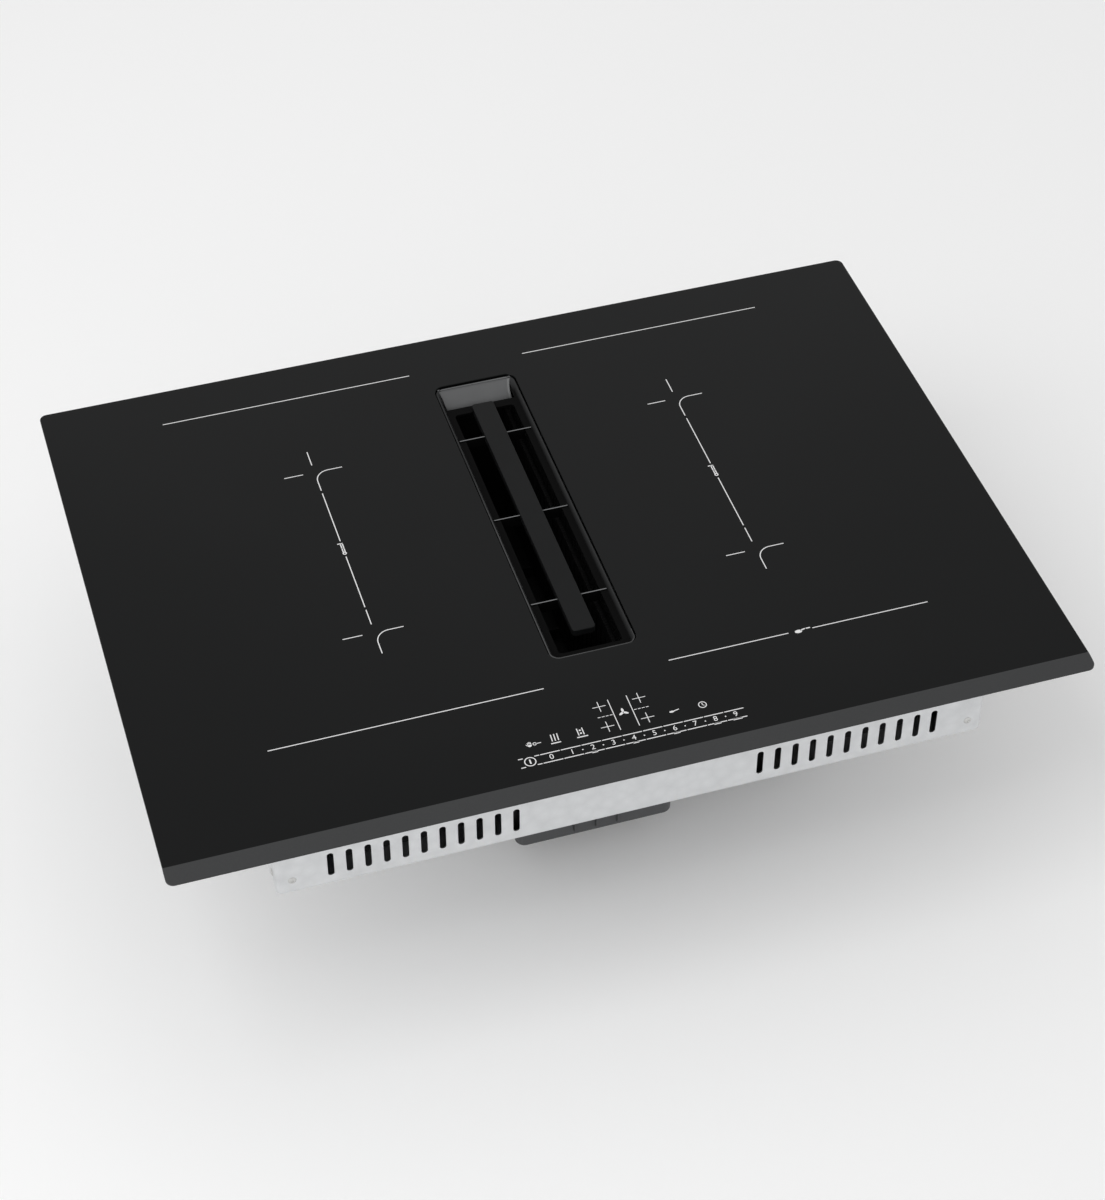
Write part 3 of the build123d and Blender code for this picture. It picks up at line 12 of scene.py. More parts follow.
import bpy
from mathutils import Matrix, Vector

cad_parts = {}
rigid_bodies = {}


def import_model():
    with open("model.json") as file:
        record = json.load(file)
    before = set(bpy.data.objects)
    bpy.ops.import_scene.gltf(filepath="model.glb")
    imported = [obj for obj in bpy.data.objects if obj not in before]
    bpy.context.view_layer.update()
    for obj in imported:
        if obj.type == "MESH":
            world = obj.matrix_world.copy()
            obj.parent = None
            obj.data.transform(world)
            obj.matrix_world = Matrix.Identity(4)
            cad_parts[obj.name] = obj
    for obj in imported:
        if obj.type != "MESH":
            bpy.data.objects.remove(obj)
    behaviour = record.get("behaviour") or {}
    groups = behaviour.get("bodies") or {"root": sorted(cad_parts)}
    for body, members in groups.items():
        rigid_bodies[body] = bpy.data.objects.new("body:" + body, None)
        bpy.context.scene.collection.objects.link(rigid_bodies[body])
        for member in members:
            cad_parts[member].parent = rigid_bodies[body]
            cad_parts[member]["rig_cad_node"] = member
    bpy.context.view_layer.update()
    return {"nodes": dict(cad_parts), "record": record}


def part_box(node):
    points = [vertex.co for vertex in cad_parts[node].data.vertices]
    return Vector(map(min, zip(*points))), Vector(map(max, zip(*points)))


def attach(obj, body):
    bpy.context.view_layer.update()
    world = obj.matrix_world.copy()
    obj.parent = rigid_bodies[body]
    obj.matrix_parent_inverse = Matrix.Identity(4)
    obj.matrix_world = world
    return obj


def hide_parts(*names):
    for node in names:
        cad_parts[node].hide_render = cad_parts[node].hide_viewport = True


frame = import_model()
nodes = frame["nodes"]
glass_top_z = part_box("glass_top")[1].z
print("nodes:", len(nodes), "glass top at", round(glass_top_z, 4))

# %% [markdown]
# ## The camera
# The photograph looks down on the cooktop from the front left. A long lens keeps the glass
# almost free of perspective. The place and the turn were fitted to the four corners of the
# glass, so the camera is set with plain numbers.

# %% Camera
camera_place = (-0.46014, -1.49728, 1.69833)
camera_turn = 17.36
camera_dip = 44.56
camera_lens = 81.73
camera_sensor = 36

bpy.ops.object.camera_add(
    location=camera_place,
    rotation=(math.radians(90 - camera_dip), 0, math.radians(-camera_turn)),
)
camera = bpy.context.object
camera.data.lens = camera_lens
camera.data.sensor_width = camera_sensor
camera.data.clip_end = 60
bpy.context.scene.camera = camera
print("camera lens:", camera_lens, "dip:", camera_dip)

# %% [markdown]
# ## Writing shaders as sums
# A shader is a net of small nodes. Wiring them one by one hides the idea, so a number that
# changes over a surface is wrapped in a small class: adding or multiplying two of them adds
# the Math node. All other nodes come from one method, add, of the net that they belong to.


# %% Field: a number over a surface
class Field:
    """A number that changes over a surface. Python's signs build its Math nodes."""

    def __init__(self, net, socket):
        self.net = net
        self.socket = socket

    def __add__(self, other):
        return self.net.maths("ADD", self, other)

    def __radd__(self, other):
        return self.net.maths("ADD", other, self)

    def __sub__(self, other):
        return self.net.maths("SUBTRACT", self, other)

    def __rsub__(self, other):
        return self.net.maths("SUBTRACT", other, self)

    def __mul__(self, other):
        return self.net.maths("MULTIPLY", self, other)

    def __rmul__(self, other):
        return self.net.maths("MULTIPLY", other, self)

    def __gt__(self, other):
        return self.net.maths("GREATER_THAN", self, other)

    def __lt__(self, other):
        return self.net.maths("LESS_THAN", self, other)

    def __abs__(self):
        return self.net.maths("ABSOLUTE", self)

    def larger(self, other):
        return self.net.maths("MAXIMUM", self, other)

    def smaller(self, other):
        return self.net.maths("MINIMUM", self, other)


print("field ready")


# %% Net: the nodes of one shader
class Net:
    """The nodes of one shader, whether of a material or of the room."""

    def __init__(self, tree):
        self.tree = tree

    def add(self, kind, settings=None, sockets=None):
        """Adds a node: its settings first, then the values or the links of its sockets."""
        node = self.tree.nodes.new(kind)
        for name, value in (settings or {}).items():
            setattr(node, name, value)
        for name, value in (sockets or {}).items():
            self.feed(node.inputs[name], value)
        return node

    def feed(self, socket, value):
        """Links a field or an output to a socket, or writes a plain value on it."""
        if isinstance(value, Field):
            value = value.socket
        if isinstance(value, bpy.types.NodeSocket):
            self.tree.links.new(value, socket)
        else:
            socket.default_value = value

    def maths(self, operation, *terms):
        """A Math node of one or two terms, as a field."""
        node = self.add("ShaderNodeMath", {"operation": operation}, dict(enumerate(terms)))
        return Field(self, node.outputs[0])


print("net of nodes ready")


# %% Recipe: one material
class Recipe(Net):
    """A material under construction: a Principled shader and the nodes that feed it."""

    def __init__(self, name, colour, roughness, metallic=0.0, specular=0.5):
        self.material = bpy.data.materials.new(name)
        self.material.use_nodes = True
        super().__init__(self.material.node_tree)
        self.shader = self.tree.nodes["Principled BSDF"]
        self.shader.inputs["Base Color"].default_value = (*colour, 1)
        self.shader.inputs["Roughness"].default_value = roughness
        self.shader.inputs["Metallic"].default_value = metallic
        self.shader.inputs["Specular IOR Level"].default_value = specular

    def axis(self, letter):
        """One object coordinate, in metres, as a field."""
        where = self.add("ShaderNodeTexCoord")
        sockets = {"Vector": where.outputs["Object"]}
        parts = self.add("ShaderNodeSeparateXYZ", None, sockets)
        return Field(self, parts.outputs[letter])

    def stretched(self, stretch):
        """Object coordinates, each multiplied by its own number."""
        where = self.add("ShaderNodeTexCoord")
        sockets = {"Vector": where.outputs["Object"], "Scale": stretch}
        return self.add("ShaderNodeMapping", None, sockets).outputs["Vector"]

    def noise(self, scale, detail=2.0, stretch=(1, 1, 1)):
        """Cloudy noise from 0 to 1: scale is the number of clouds in one metre."""
        sockets = {"Vector": self.stretched(stretch), "Scale": scale, "Detail": detail}
        return Field(self, self.add("ShaderNodeTexNoise", None, sockets).outputs[0])

    def cells(self, scale, feature="F1"):
        """Distance inside the cells of a Voronoi pattern: scale is their number in a metre."""
        sockets = {"Vector": self.stretched((1, 1, 1)), "Scale": scale}
        node = self.add("ShaderNodeTexVoronoi", {"feature": feature}, sockets)
        return Field(self, node.outputs["Distance"])

    def blend(self, share, first, second):
        """Mixes two colours by a field. Each is three numbers or an earlier blend."""
        node = self.add("ShaderNodeMix", {"data_type": "RGBA"})
        # the Mix node keeps its colours in inputs 6 and 7, and the mixed one in output 2
        self.feed(node.inputs[0], share)
        for slot, colour in ((6, first), (7, second)):
            self.feed(node.inputs[slot], (*colour, 1) if isinstance(colour, tuple) else colour)
        return node.outputs[2]

    def colour(self, value):
        self.feed(self.shader.inputs["Base Color"], value)

    def roughness(self, value):
        self.feed(self.shader.inputs["Roughness"], value)

    def bump(self, height, depth):
        """Lets a field press dents of about depth metres into the surface."""
        sockets = {"Height": height, "Distance": depth, "Strength": 1.0}
        node = self.add("ShaderNodeBump", None, sockets)
        self.feed(self.shader.inputs["Normal"], node.outputs["Normal"])


def tint(colour, factor, lift=0.0):
    """A colour made deeper or paler, and no paler than white."""
    return tuple(min(1.0, part * factor + lift) for part in colour)


print("a deeper grey:", tint((0.5, 0.5, 0.5), 0.8))

# %% [markdown]
# ## Black glass-ceramic
# The plate is polished and almost black. Its front edge is ground to a shallow slope and
# looks smoky grey, because light enters the slope and scatters inside the glass. A mask on
# the depth coordinate finds the slope. Fingerprints show only as a faint change of gloss.

# %% Glass-ceramic
facet_line_y = -0.2461


def make_glass():
    glass = Recipe("black_glass_ceramic", (0.0036, 0.0038, 0.0039), 0.05, specular=0.115)
    on_facet = glass.axis("Y") < facet_line_y
    grain = glass.noise(900.0, 3.0)
    smoke = glass.blend(grain, (0.040, 0.041, 0.042), (0.052, 0.053, 0.054))
    cloud = glass.noise(9.0, 3.0)
    body = glass.blend(cloud, (0.0032, 0.0035, 0.0036), (0.0042, 0.0045, 0.0047))
    glass.colour(glass.blend(on_facet, body, smoke))
    wiped = glass.noise(26.0, 4.0, (1.0, 0.35, 1.0))
    glass.roughness(0.045 + 0.05 * wiped + 0.3 * on_facet)
    return glass.material


finishes = {"glass_ceramic": make_glass()}
print("finishes:", sorted(finishes))

# %% [markdown]
# ## Moulded plastics
# The shaft, the air box, the tank and the wheels are injection moulded. Their tools are
# spark-eroded, which leaves a fine, even grain. One maker serves them all: a fine noise for
# the grain and a slow one for the slight flow marks.

# %% Moulded plastic
grain_in_a_metre = 1400.0
grain_depth = 0.00003
flow_marks_in_a_metre = 14.0


def make_plastic(name, colour, roughness=0.45, specular=0.5):
    plastic = Recipe(name, colour, roughness, specular=specular)
    flow = plastic.noise(flow_marks_in_a_metre)
    plastic.colour(plastic.blend(flow, tint(colour, 0.86), tint(colour, 1.12, 0.002)))
    fine = plastic.noise(grain_in_a_metre)
    plastic.roughness(roughness - 0.08 + 0.16 * fine)
    plastic.bump(fine, grain_depth)
    return plastic.material


finishes["black_polymer"] = make_plastic("black_moulded_plastic", (0.006,) * 3, specular=0.15)
finishes["box_polymer"] = make_plastic("air_box_plastic", (0.075, 0.077, 0.08), 0.5)
finishes["tank_polymer"] = make_plastic("tank_plastic", (0.14, 0.143, 0.148), 0.42)
finishes["wheel_polymer"] = make_plastic("wheel_plastic", (0.03, 0.03, 0.032), 0.4)
finishes["blower_polymer"] = make_plastic("blower_plastic", (0.02, 0.02, 0.021), 0.4)
finishes["former_polymer"] = make_plastic("former_plastic", (0.55, 0.52, 0.45), 0.5)
finishes["sensor_polymer"] = make_plastic("sensor_plastic", (0.7, 0.7, 0.66), 0.35)
finishes["component_polymer"] = make_plastic("component_plastic", (0.05, 0.06, 0.1), 0.3)
finishes["terminal_polymer"] = make_plastic("terminal_plastic", (0.42, 0.42, 0.4), 0.4)
print("finishes:", len(finishes))

# %% [markdown]
# ## Sheet metals
# Galvanised sheet has spangles, the frozen crystals of zinc. Voronoi cells stand for them,
# each a little lighter or duller than the next. Rolled strip and stainless panels show fine
# drawn lines instead, which are noise stretched fiftyfold along one direction.

# %% Galvanised and drawn metal
metal_depth = 0.00002
along_y = (1, 0.02, 1)
along_z = (1, 1, 0.02)


def make_galvanised(name, colour):
    zinc = Recipe(name, colour, 0.38, metallic=0.9)
    spangle = zinc.cells(95.0)
    speck = zinc.noise(500.0, 3.0)
    share = 0.7 * spangle + 0.35 * speck
    zinc.colour(zinc.blend(share, tint(colour, 1.07), tint(colour, 0.92)))
    zinc.roughness(0.34 + 0.14 * share)
    zinc.bump(speck, metal_depth)
    return zinc.material


def make_drawn(name, colour, stretch, roughness=0.3, metallic=0.95):
    steel = Recipe(name, colour, roughness, metallic=metallic)
    line = steel.noise(1100.0, 3.0, stretch)
    steel.colour(steel.blend(line, tint(colour, 0.82), tint(colour, 1.15)))
    steel.roughness(roughness - 0.06 + 0.16 * line)
    steel.bump(line, metal_depth)
    return steel.material


finishes["tray_steel"] = make_galvanised("galvanised_sheet", (0.68, 0.69, 0.7))
finishes["fixings"] = make_galvanised("zinc_plated_fixings", (0.58, 0.58, 0.57))
finishes["frame_aluminium"] = make_drawn("frame_aluminium", (0.66, 0.67, 0.68), along_y)
finishes["spring_steel"] = make_drawn("spring_strip", (0.6, 0.6, 0.61), along_z, 0.26)
finishes["shaft_steel"] = make_drawn("ground_shaft", (0.62, 0.62, 0.63), along_z, 0.2)
finishes["heatsink_aluminium"] = make_drawn("heatsink_extrusion", (0.6, 0.61, 0.62), along_y)
print("finishes:", len(finishes))

# %% [markdown]
# ## Filter mesh
# A grease filter is layers of expanded metal. Its strands are painted near black as shade deep
# in the well. Its diamonds come from two sets of sloping waves that are multiplied with each
# other: where the product is far from nought there is a hole, painted darker still as shade
# behind the strands, and the strands between the holes are raised.

# %% Expanded metal mesh
mesh_depth = 0.0005
waves_along, waves_up = 1150.0, 1900.0
strand_edge = 0.42


def make_mesh(name, strand, hole):
    mesh = Recipe(name, strand, 0.42, metallic=0.4, specular=0.15)
    along = mesh.axis("Y") * waves_along
    up = mesh.axis("Z") * waves_up
    waves = mesh.maths("SINE", along + up) * mesh.maths("SINE", along - up)
    height = abs(waves)
    open_part = height > strand_edge
    grime = mesh.noise(40.0, 3.0)
    toned = mesh.blend(grime, tint(strand, 0.8), strand)
    mesh.colour(mesh.blend(open_part, toned, hole))
    mesh.roughness(0.36 + 0.1 * grime + 0.3 * open_part)
    mesh.bump(1.0 - height, mesh_depth)
    return mesh.material


# near-black strands and darker holes: painted shade of the deep well
finishes["filter_steel"] = make_mesh("filter_mesh_painted_shade", (0.007, 0.007, 0.0073), (0.0015,) * 3)
print("finishes:", len(finishes))

# %% [markdown]
# ## The grille's paint
# The frame of the grille, its long bar and its sloping rear plate are metal with a satin
# black or grey powder coat. Powder melts into a very fine orange-peel skin, so the bump is
# small and round rather than sharp.

# %% Powder coat
peel_in_a_metre = 1500.0
peel_depth = 0.00002


def make_powder_coat(name, colour, roughness, specular=0.5):
    paint = Recipe(name, colour, roughness, specular=specular)
    tone = paint.noise(60.0)
    paint.colour(paint.blend(tone, tint(colour, 0.9), tint(colour, 1.12, 0.001)))
    paint.roughness(roughness - 0.05 + 0.1 * tone)
    paint.bump(paint.cells(peel_in_a_metre, "SMOOTH_F1"), peel_depth)
    return paint.material


bar_grey = (0.0062, 0.0065, 0.0067)
plate_grey = (0.093, 0.095, 0.097)
finishes["bar_metal"] = make_powder_coat("bar_powder_coat", bar_grey, 0.4, 0.086)
finishes["deflector_metal"] = make_powder_coat("rear_plate_coat", plate_grey, 0.34)
finishes["motor_paint"] = make_powder_coat("motor_paint", (0.04, 0.041, 0.045), 0.4)
print("finishes:", len(finishes))

# %% [markdown]
# ## The grille's frame: a black coat with painted light and shade
# The coat is black. Its level ledge is kept darker than black paint, with almost no gloss, as
# painted shade deep in the well. The sloping shoulder grows paler as it rises, painted shade
# low down and painted reflection higher up, and paler still at the rear corners as painted
# light. The outer edge of the rim is paler at the left and the front, a painted highlight, and
# the tops of the cross ribs are pale, also a painted highlight. Each of these is a mask that is
# worked out from the coordinates, so that it lies exactly on its part of the frame.

# %% Places on the grille
well_middle_y = 0.03225
rib_pitch = 0.0998
rib_half_thick = 0.00045
rib_half_length = 0.0306
rib_top_z = 0.22295
front_rib_y = -0.122
ledge_z = 0.2223
rim_low_z = 0.2261
rim_land_z = 0.2266
rim_corner = 0.00685
rim_straight_x = 0.0265
rim_straight_y = 0.15725
shoulder_x = 0.0302
rear_shoulder_y = 0.1935
rear_corner_y = 0.181
highlight_left_x = 0.02
highlight_front_y = -0.118
print("ribs apart:", rib_pitch)

# %% Coat of the grille's frame
shoulder_fade = 230.0
corner_fade = 80.0
highlight_fade = 14.0
highlight_at_middle = 1.11


def make_grille_coat():
    """Painted shade on the ledge, painted reflection up the shoulder, painted highlights on the
    rim's edge and the rib tops.
    """
    # a black coat whose colour and specular are kept this low as painted shade on the ledge
    # deep in the well
    coat = Recipe("grille_powder_coat", (0.004,) * 3, 0.26, specular=0.015)
    across, along, up = (coat.axis(letter) for letter in "XYZ")
    side = abs(across)
    rub_and_glint = coat.noise(90.0, 3.0, (1.0, 0.3, 1.0))

    # the tops of the cross ribs are pale: a painted highlight
    from_rib = coat.maths("PINGPONG", along - well_middle_y, rib_pitch / 2)
    rib_top = (up > rib_top_z) * (from_rib < rib_half_thick)
    rib_highlight = rib_top * (along > front_rib_y) * (side < rib_half_length)

    # the shoulder grows paler as it rises, painted shade low down and painted reflection higher
    # up, and paler still towards the rear corners as painted light
    below_land = up < rim_land_z
    on_shoulder = (side > shoulder_x).larger((along > rear_shoulder_y) * below_land)
    height = (up - ledge_z) * shoulder_fade * on_shoulder
    at_rear = (along - rear_corner_y) * corner_fade * (height > 0.0) * below_land
    shoulder = coat.blend(height, (0.0036,) * 3, (0.040, 0.0405, 0.041))
    at_rear = at_rear.larger(0.0).smaller(1.0)
    shoulder = coat.blend(at_rear, shoulder, (0.05, 0.051, 0.052))

    # the outer edge of the rim is paler at the left and the front and fades towards the rear: a
    # painted highlight
    past_x = (side - rim_straight_x).larger(0.0)
    past_y = (abs(along - well_middle_y) - rim_straight_y).larger(0.0)
    outermost = past_x * past_x + past_y * past_y > rim_corner**2
    left_or_front = (across < highlight_left_x).larger(along < highlight_front_y)
    near_front = (highlight_at_middle - highlight_fade * along).smaller(1.0).larger(0.0)
    rim_highlight = outermost * left_or_front * (up > rim_low_z) * near_front

    toned = coat.blend(rim_highlight * (0.6 + 0.6 * rub_and_glint), shoulder, (0.11, 0.111, 0.112))
    coat.colour(coat.blend(rib_highlight * (0.8 + 0.6 * rub_and_glint), toned, (0.2, 0.203, 0.206)))
    coat.roughness(0.24 + 0.06 * rub_and_glint)
    coat.bump(coat.cells(peel_in_a_metre, "SMOOTH_F1"), peel_depth)
    return coat.material


finishes["grille_metal"] = make_grille_coat()
print("nodes of the coat:", len(finishes["grille_metal"].node_tree.nodes))

# %% [markdown]
# ## Inner materials
# Foam, carbon, copper, ferrite, mica and circuit board lie inside the unit. They show
# through the louvres and when the filter unit is lifted, so each still gets its own look:
# open pores for foam and carbon, drawn strands for copper, flakes for mica, and copper
# tracks under the green mask of a board.


# %% Foam, carbon, copper, ferrite, mica and board
def make_porous(name, deep, pale, scale, depth, roughness):
    foam = Recipe(name, pale, roughness)
    pores = foam.cells(scale)
    dust = foam.noise(scale * 0.5)
    foam.colour(foam.blend(1.4 * pores * dust + 0.2, deep, pale))
    foam.roughness(roughness - 0.05 + 0.1 * dust)
    foam.bump(pores, depth)
    return foam.material


def make_board(name):
    board = Recipe(name, (0.015, 0.13, 0.055), 0.35)
    track = board.cells(70.0, "DISTANCE_TO_EDGE") > 0.12
    board.colour(board.blend(track, (0.03, 0.2, 0.09), (0.012, 0.11, 0.045)))
    board.roughness(0.3 + 0.1 * track)
    board.bump(track, 0.00003)
    return board.material


soot, coal, slate, ash = ((level,) * 3 for level in (0.006, 0.008, 0.03, 0.07))
dull_mica, mica = (0.5, 0.44, 0.33), (0.66, 0.6, 0.48)
finishes["seal_foam"] = make_porous("sealing_foam", coal, slate, 2200.0, 0.0002, 0.9)
finishes["carbon_cassette"] = make_porous("carbon", soot, slate, 520.0, 0.0008, 0.8)
finishes["ferrite"] = make_porous("ferrite", slate, ash, 1600.0, 0.00005, 0.6)
finishes["mica"] = make_porous("mica", dull_mica, mica, 240.0, 0.00005, 0.45)
copper = make_drawn("litz_winding", (0.55, 0.25, 0.12), (1, 1, 0.1), 0.4, 0.7)
finishes["coil_copper"] = copper
finishes["circuit_board"] = make_board("circuit_board")
print("finishes:", len(finishes))

# %% [markdown]
# ## Dressing the frame
# The record names a material slot for every node of the frame. The bar of the grille has a
# paint of its own. Everything else takes the finish of its slot.

# %% Give every node its finish
own_finish = {"grille_bar": "bar_metal"}
slot_of = {part["node"]: part["material_slot"] for part in frame["record"]["subparts"]}
for name, node in nodes.items():
    finish = finishes[own_finish.get(name, slot_of[name])]
    node.data.materials.clear()
    node.data.materials.append(finish)
print("dressed nodes:", len(nodes))

# %% [markdown]
# ## Tools of the bench
# Every new piece starts as a primitive at its size and place. Operators act on all that is
# selected, so a piece is selected alone first. Inside it, a test picks the points, edges or
# faces by where they lie. Placing is baked into the mesh before a piece is fixed to its body.


# %% Selecting and shaping
def nothing_selected():
    bpy.ops.object.select_all(action="DESELECT")


def select_only(piece):
    """Selects one object alone and makes it the active one."""
    nothing_selected()
    piece.select_set(True)
    bpy.context.view_layer.objects.active = piece


def at_rest():
    """Bakes place, turn and size of the active object into its mesh."""
    bpy.ops.object.transform_apply(location=True, rotation=True, scale=True)
    return bpy.context.object


def open_mesh():
    """Opens the active object's mesh for shaping, with all of it selected."""
    bpy.ops.object.mode_set(mode="EDIT")
    bpy.ops.mesh.select_all(action="SELECT")


def close_mesh():
    bpy.ops.object.mode_set(mode="OBJECT")


def pick(piece, kind, test):
    """In an open mesh, selects the VERT, EDGE or FACE parts whose points all pass a test."""
    bpy.ops.mesh.select_mode(type=kind)
    bpy.ops.mesh.select_all(action="DESELECT")
    close_mesh()
    mesh = piece.data
    parts = {"VERT": mesh.vertices, "EDGE": mesh.edges, "FACE": mesh.polygons}[kind]
    for part in parts:
        points = (part.index,) if kind == "VERT" else part.vertices
        part.select = all(test(mesh.vertices[point].co) for point in points)
    bpy.ops.object.mode_set(mode="EDIT")


def cut(point, facing, **settings):
    """Cuts all of an open mesh by a plane through a point."""
    bpy.ops.mesh.select_all(action="SELECT")
    bpy.ops.mesh.bisect(plane_co=point, plane_no=facing, **settings)


def apply_modifier(piece, kind, **settings):
    """Adds a modifier with its settings and applies it."""
    bpy.context.view_layer.objects.active = piece
    bpy.ops.object.modifier_add(type=kind)
    modifier = piece.modifiers[-1]
    for name, value in settings.items():
        setattr(modifier, name, value)
    bpy.ops.object.modifier_apply(modifier=modifier.name)


print("shaping tools ready")


# %% Joining and finishing
def join_up(pieces, name):
    """Joins pieces into one and names it."""
    nothing_selected()
    for piece in pieces:
        piece.select_set(True)
    bpy.context.view_layer.objects.active = pieces[0]
    bpy.ops.object.join()
    whole = bpy.context.object
    whole.name = name
    return whole


def complete(piece, name, finish, body="housing", angle=35.0):
    """Names a finished piece, paints it, shades it and fixes it to its body."""
    piece.name = name
    piece.data.materials.clear()
    piece.data.materials.append(finishes[finish])
    select_only(piece)
    bpy.ops.object.shade_smooth_by_angle(angle=math.radians(angle))
    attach(piece, body)
    print(name, "faces:", len(piece.data.polygons))


def copies_of(pattern, places):
    """Copies of a pattern, each at its x, y and z and turned about the upright axis."""
    copies = []
    for x, y, z, turn in places:
        select_only(pattern)
        bpy.ops.object.duplicate()
        copy = bpy.context.object
        copy.rotation_euler = (0, 0, math.radians(turn))
        copy.location = (x, y, z)
        copies.append(at_rest())
    bpy.data.objects.remove(pattern)
    return copies


print("finishing tools ready")

# %% [markdown]
# ## Soft edges
# The frame's meshes are plain triangles with knife-sharp edges, and curved walls look faceted.
# On the real object every edge is broken or moulded round, and that is where light catches.
# So each piece that can be seen from outside gets a finished copy: its loose triangles are
# merged and flat faces made whole, sharp edges get a small bevel, and curved walls are shaded
# smooth. The copy stands for the node, which stays in the model for collision.

# %% A finished copy of a node
body_of_node = {}
for body_name, members in frame["record"]["behaviour"]["bodies"].items():
    for member in members:
        body_of_node[member] = body_name
sharp_from = math.radians(32.0)
flat_within = math.radians(0.6)
weld_reach = 0.000004


def finished_copy(name, edge=0.0):
    """Copies a node's mesh, merges it, bevels its sharp edges and shades it smooth."""
    select_only(nodes[name])
    bpy.ops.object.duplicate()
    piece = bpy.context.object
    piece.parent = None
    del piece["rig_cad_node"]
    piece.name = name + "_finished"
    bpy.ops.mesh.customdata_custom_splitnormals_clear()
    open_mesh()
    bpy.ops.mesh.remove_doubles(threshold=weld_reach)
    bpy.ops.mesh.dissolve_limited(angle_limit=flat_within)
    close_mesh()
    bpy.ops.object.shade_smooth_by_angle(angle=sharp_from)
    if edge:
        bevel = {"limit_method": "ANGLE", "angle_limit": sharp_from, "harden_normals": True}
        apply_modifier(piece, "BEVEL", width=edge, segments=2, **bevel)
    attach(piece, body_of_node[name])
    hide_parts(name)
    print(name, "faces:", len(piece.data.polygons))


print("nodes with a body:", len(body_of_node))

# %% Finished copies of what can be seen
edge_widths = {
    "glass_top": 0.0002,
    "grille_bar": 0.0003,
    "inlet_shaft": 0.0003,
    "duct_spigot": 0.0003,
    "overflow_tank": 0.0003,
    "tank_lid": 0.0003,
    "grease_filter_left": 0.0002,
    "grease_filter_right": 0.0002,
}
for name, edge in edge_widths.items():
    finished_copy(name, edge)

# %% Finished copies that only need smooth shading
smooth_only = (
    "grille_frame",
    "filter_frame",
    "base_tray",
    "scroll_housing",
    "fan_deck",
    "plenum_pan",
    "fan_wheel",
    "fan_motor",
    "motor_shaft",
    "cooler_wheel_left",
    "cooler_wheel_right",
    "cooler_housing_left",
    "cooler_housing_right",
    "cable_gland",
    "drain_tube",
)
for name in smooth_only:
    finished_copy(name)

# %% [markdown]
# ## Foam seals
# A strip of closed-cell foam lies between the glass and the worktop, and another between the
# glass and the flange of the well. Foam that is cut and pressed has soft, slightly bulged
# edges. A rounded frame is inset to the width of the strip, given its thickness, and its edges
# are rolled over.

# %% Foam seals
foam_round = 0.00035


def soft_strip(node, corner, strip):
    """A rounded frame of foam in the place of a flat ring of the model."""
    low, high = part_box(node)
    nothing_selected()
    centre = ((low.x + high.x) / 2, (low.y + high.y) / 2, low.z)
    bpy.ops.mesh.primitive_plane_add(size=1, location=centre)
    seal = bpy.context.object
    seal.scale = (high.x - low.x, high.y - low.y, 1)
    at_rest()
    open_mesh()
    bpy.ops.mesh.bevel(offset=corner, segments=10, affect="VERTICES")
    bpy.ops.mesh.select_all(action="SELECT")
    bpy.ops.mesh.inset(thickness=strip)
    bpy.ops.mesh.delete(type="FACE")
    close_mesh()
    apply_modifier(seal, "SOLIDIFY", thickness=high.z - low.z, offset=1)
    apply_modifier(seal, "BEVEL", width=foam_round, segments=3, limit_method="ANGLE")
    complete(seal, node + "_foam", "seal_foam", angle=60.0)
    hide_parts(node)


soft_strip("worktop_seal", 0.006, 0.008)
soft_strip("well_gasket", 0.0145, 0.006)

# %% [markdown]
# ## The sloping rear plate
# The grille ends in a sloping plate of thin sheet. Its sides are folded up in a curve, and it
# spreads towards the top to meet the corners of the rim. It starts as a flat plane whose side
# edges are spun into the folds. Cuts across it give rows of points, and the upper rows are
# pulled wider. The sheet gets its thickness, is tilted, and is trimmed level with the rim.

# %% The plate
plate_half_width = 0.0264
plate_half_length = 0.0100
plate_slope = 43.1
plate_place = (0, 0.18929, 0.22044)
plate_thick = 0.0006
fold_radius = 0.003
fold_angle = 50.0
spread_from = -0.004
spread_rate = 560.0
spread_rows = (0.0, 0.004, 0.007, plate_half_length)
trims = (((0, 0, 0.22675), (0, 0, 1)), ((0, 0.19605, 0), (0, 1, 0)))
near = 0.0001


def rear_plate():
    nothing_selected()
    bpy.ops.mesh.primitive_plane_add(size=1)
    plate = bpy.context.object
    plate.scale = (2 * plate_half_width, 2 * plate_half_length, 1)
    at_rest()
    bpy.ops.object.mode_set(mode="EDIT")
    for side in (-1, 1):
        pick(plate, "EDGE", lambda point: point.x * side > plate_half_width - near)
        bpy.ops.mesh.spin(
            steps=8,
            angle=math.radians(fold_angle) * side,
            center=(side * plate_half_width, 0, fold_radius),
            axis=(0, 1, 0),
        )
    bpy.ops.mesh.select_all(action="SELECT")
    bpy.ops.mesh.remove_doubles(threshold=near / 10)
    bpy.ops.mesh.normals_make_consistent(inside=True)
    for row in (spread_from, *spread_rows[:-1]):
        cut((0, row, 0), (0, 1, 0))
    for row in spread_rows:
        pick(plate, "VERT", lambda point: abs(point.y - row) < near)
        wider = 1 + spread_rate * (row - spread_from) ** 2
        bpy.ops.transform.resize(value=(wider, 1, 1), center_override=(0, 0, 0))
    close_mesh()
    apply_modifier(plate, "SOLIDIFY", thickness=plate_thick, offset=-1, use_even_offset=True)
    apply_modifier(plate, "BEVEL", width=0.0001, segments=2, limit_method="ANGLE")
    plate.rotation_euler = (math.radians(plate_slope), 0, 0)
    plate.location = plate_place
    at_rest()
    open_mesh()
    for point, facing in trims:
        cut(point, facing, clear_outer=True, use_fill=True)
    close_mesh()
    return plate


plate = rear_plate()
print("plate points:", len(plate.data.vertices))

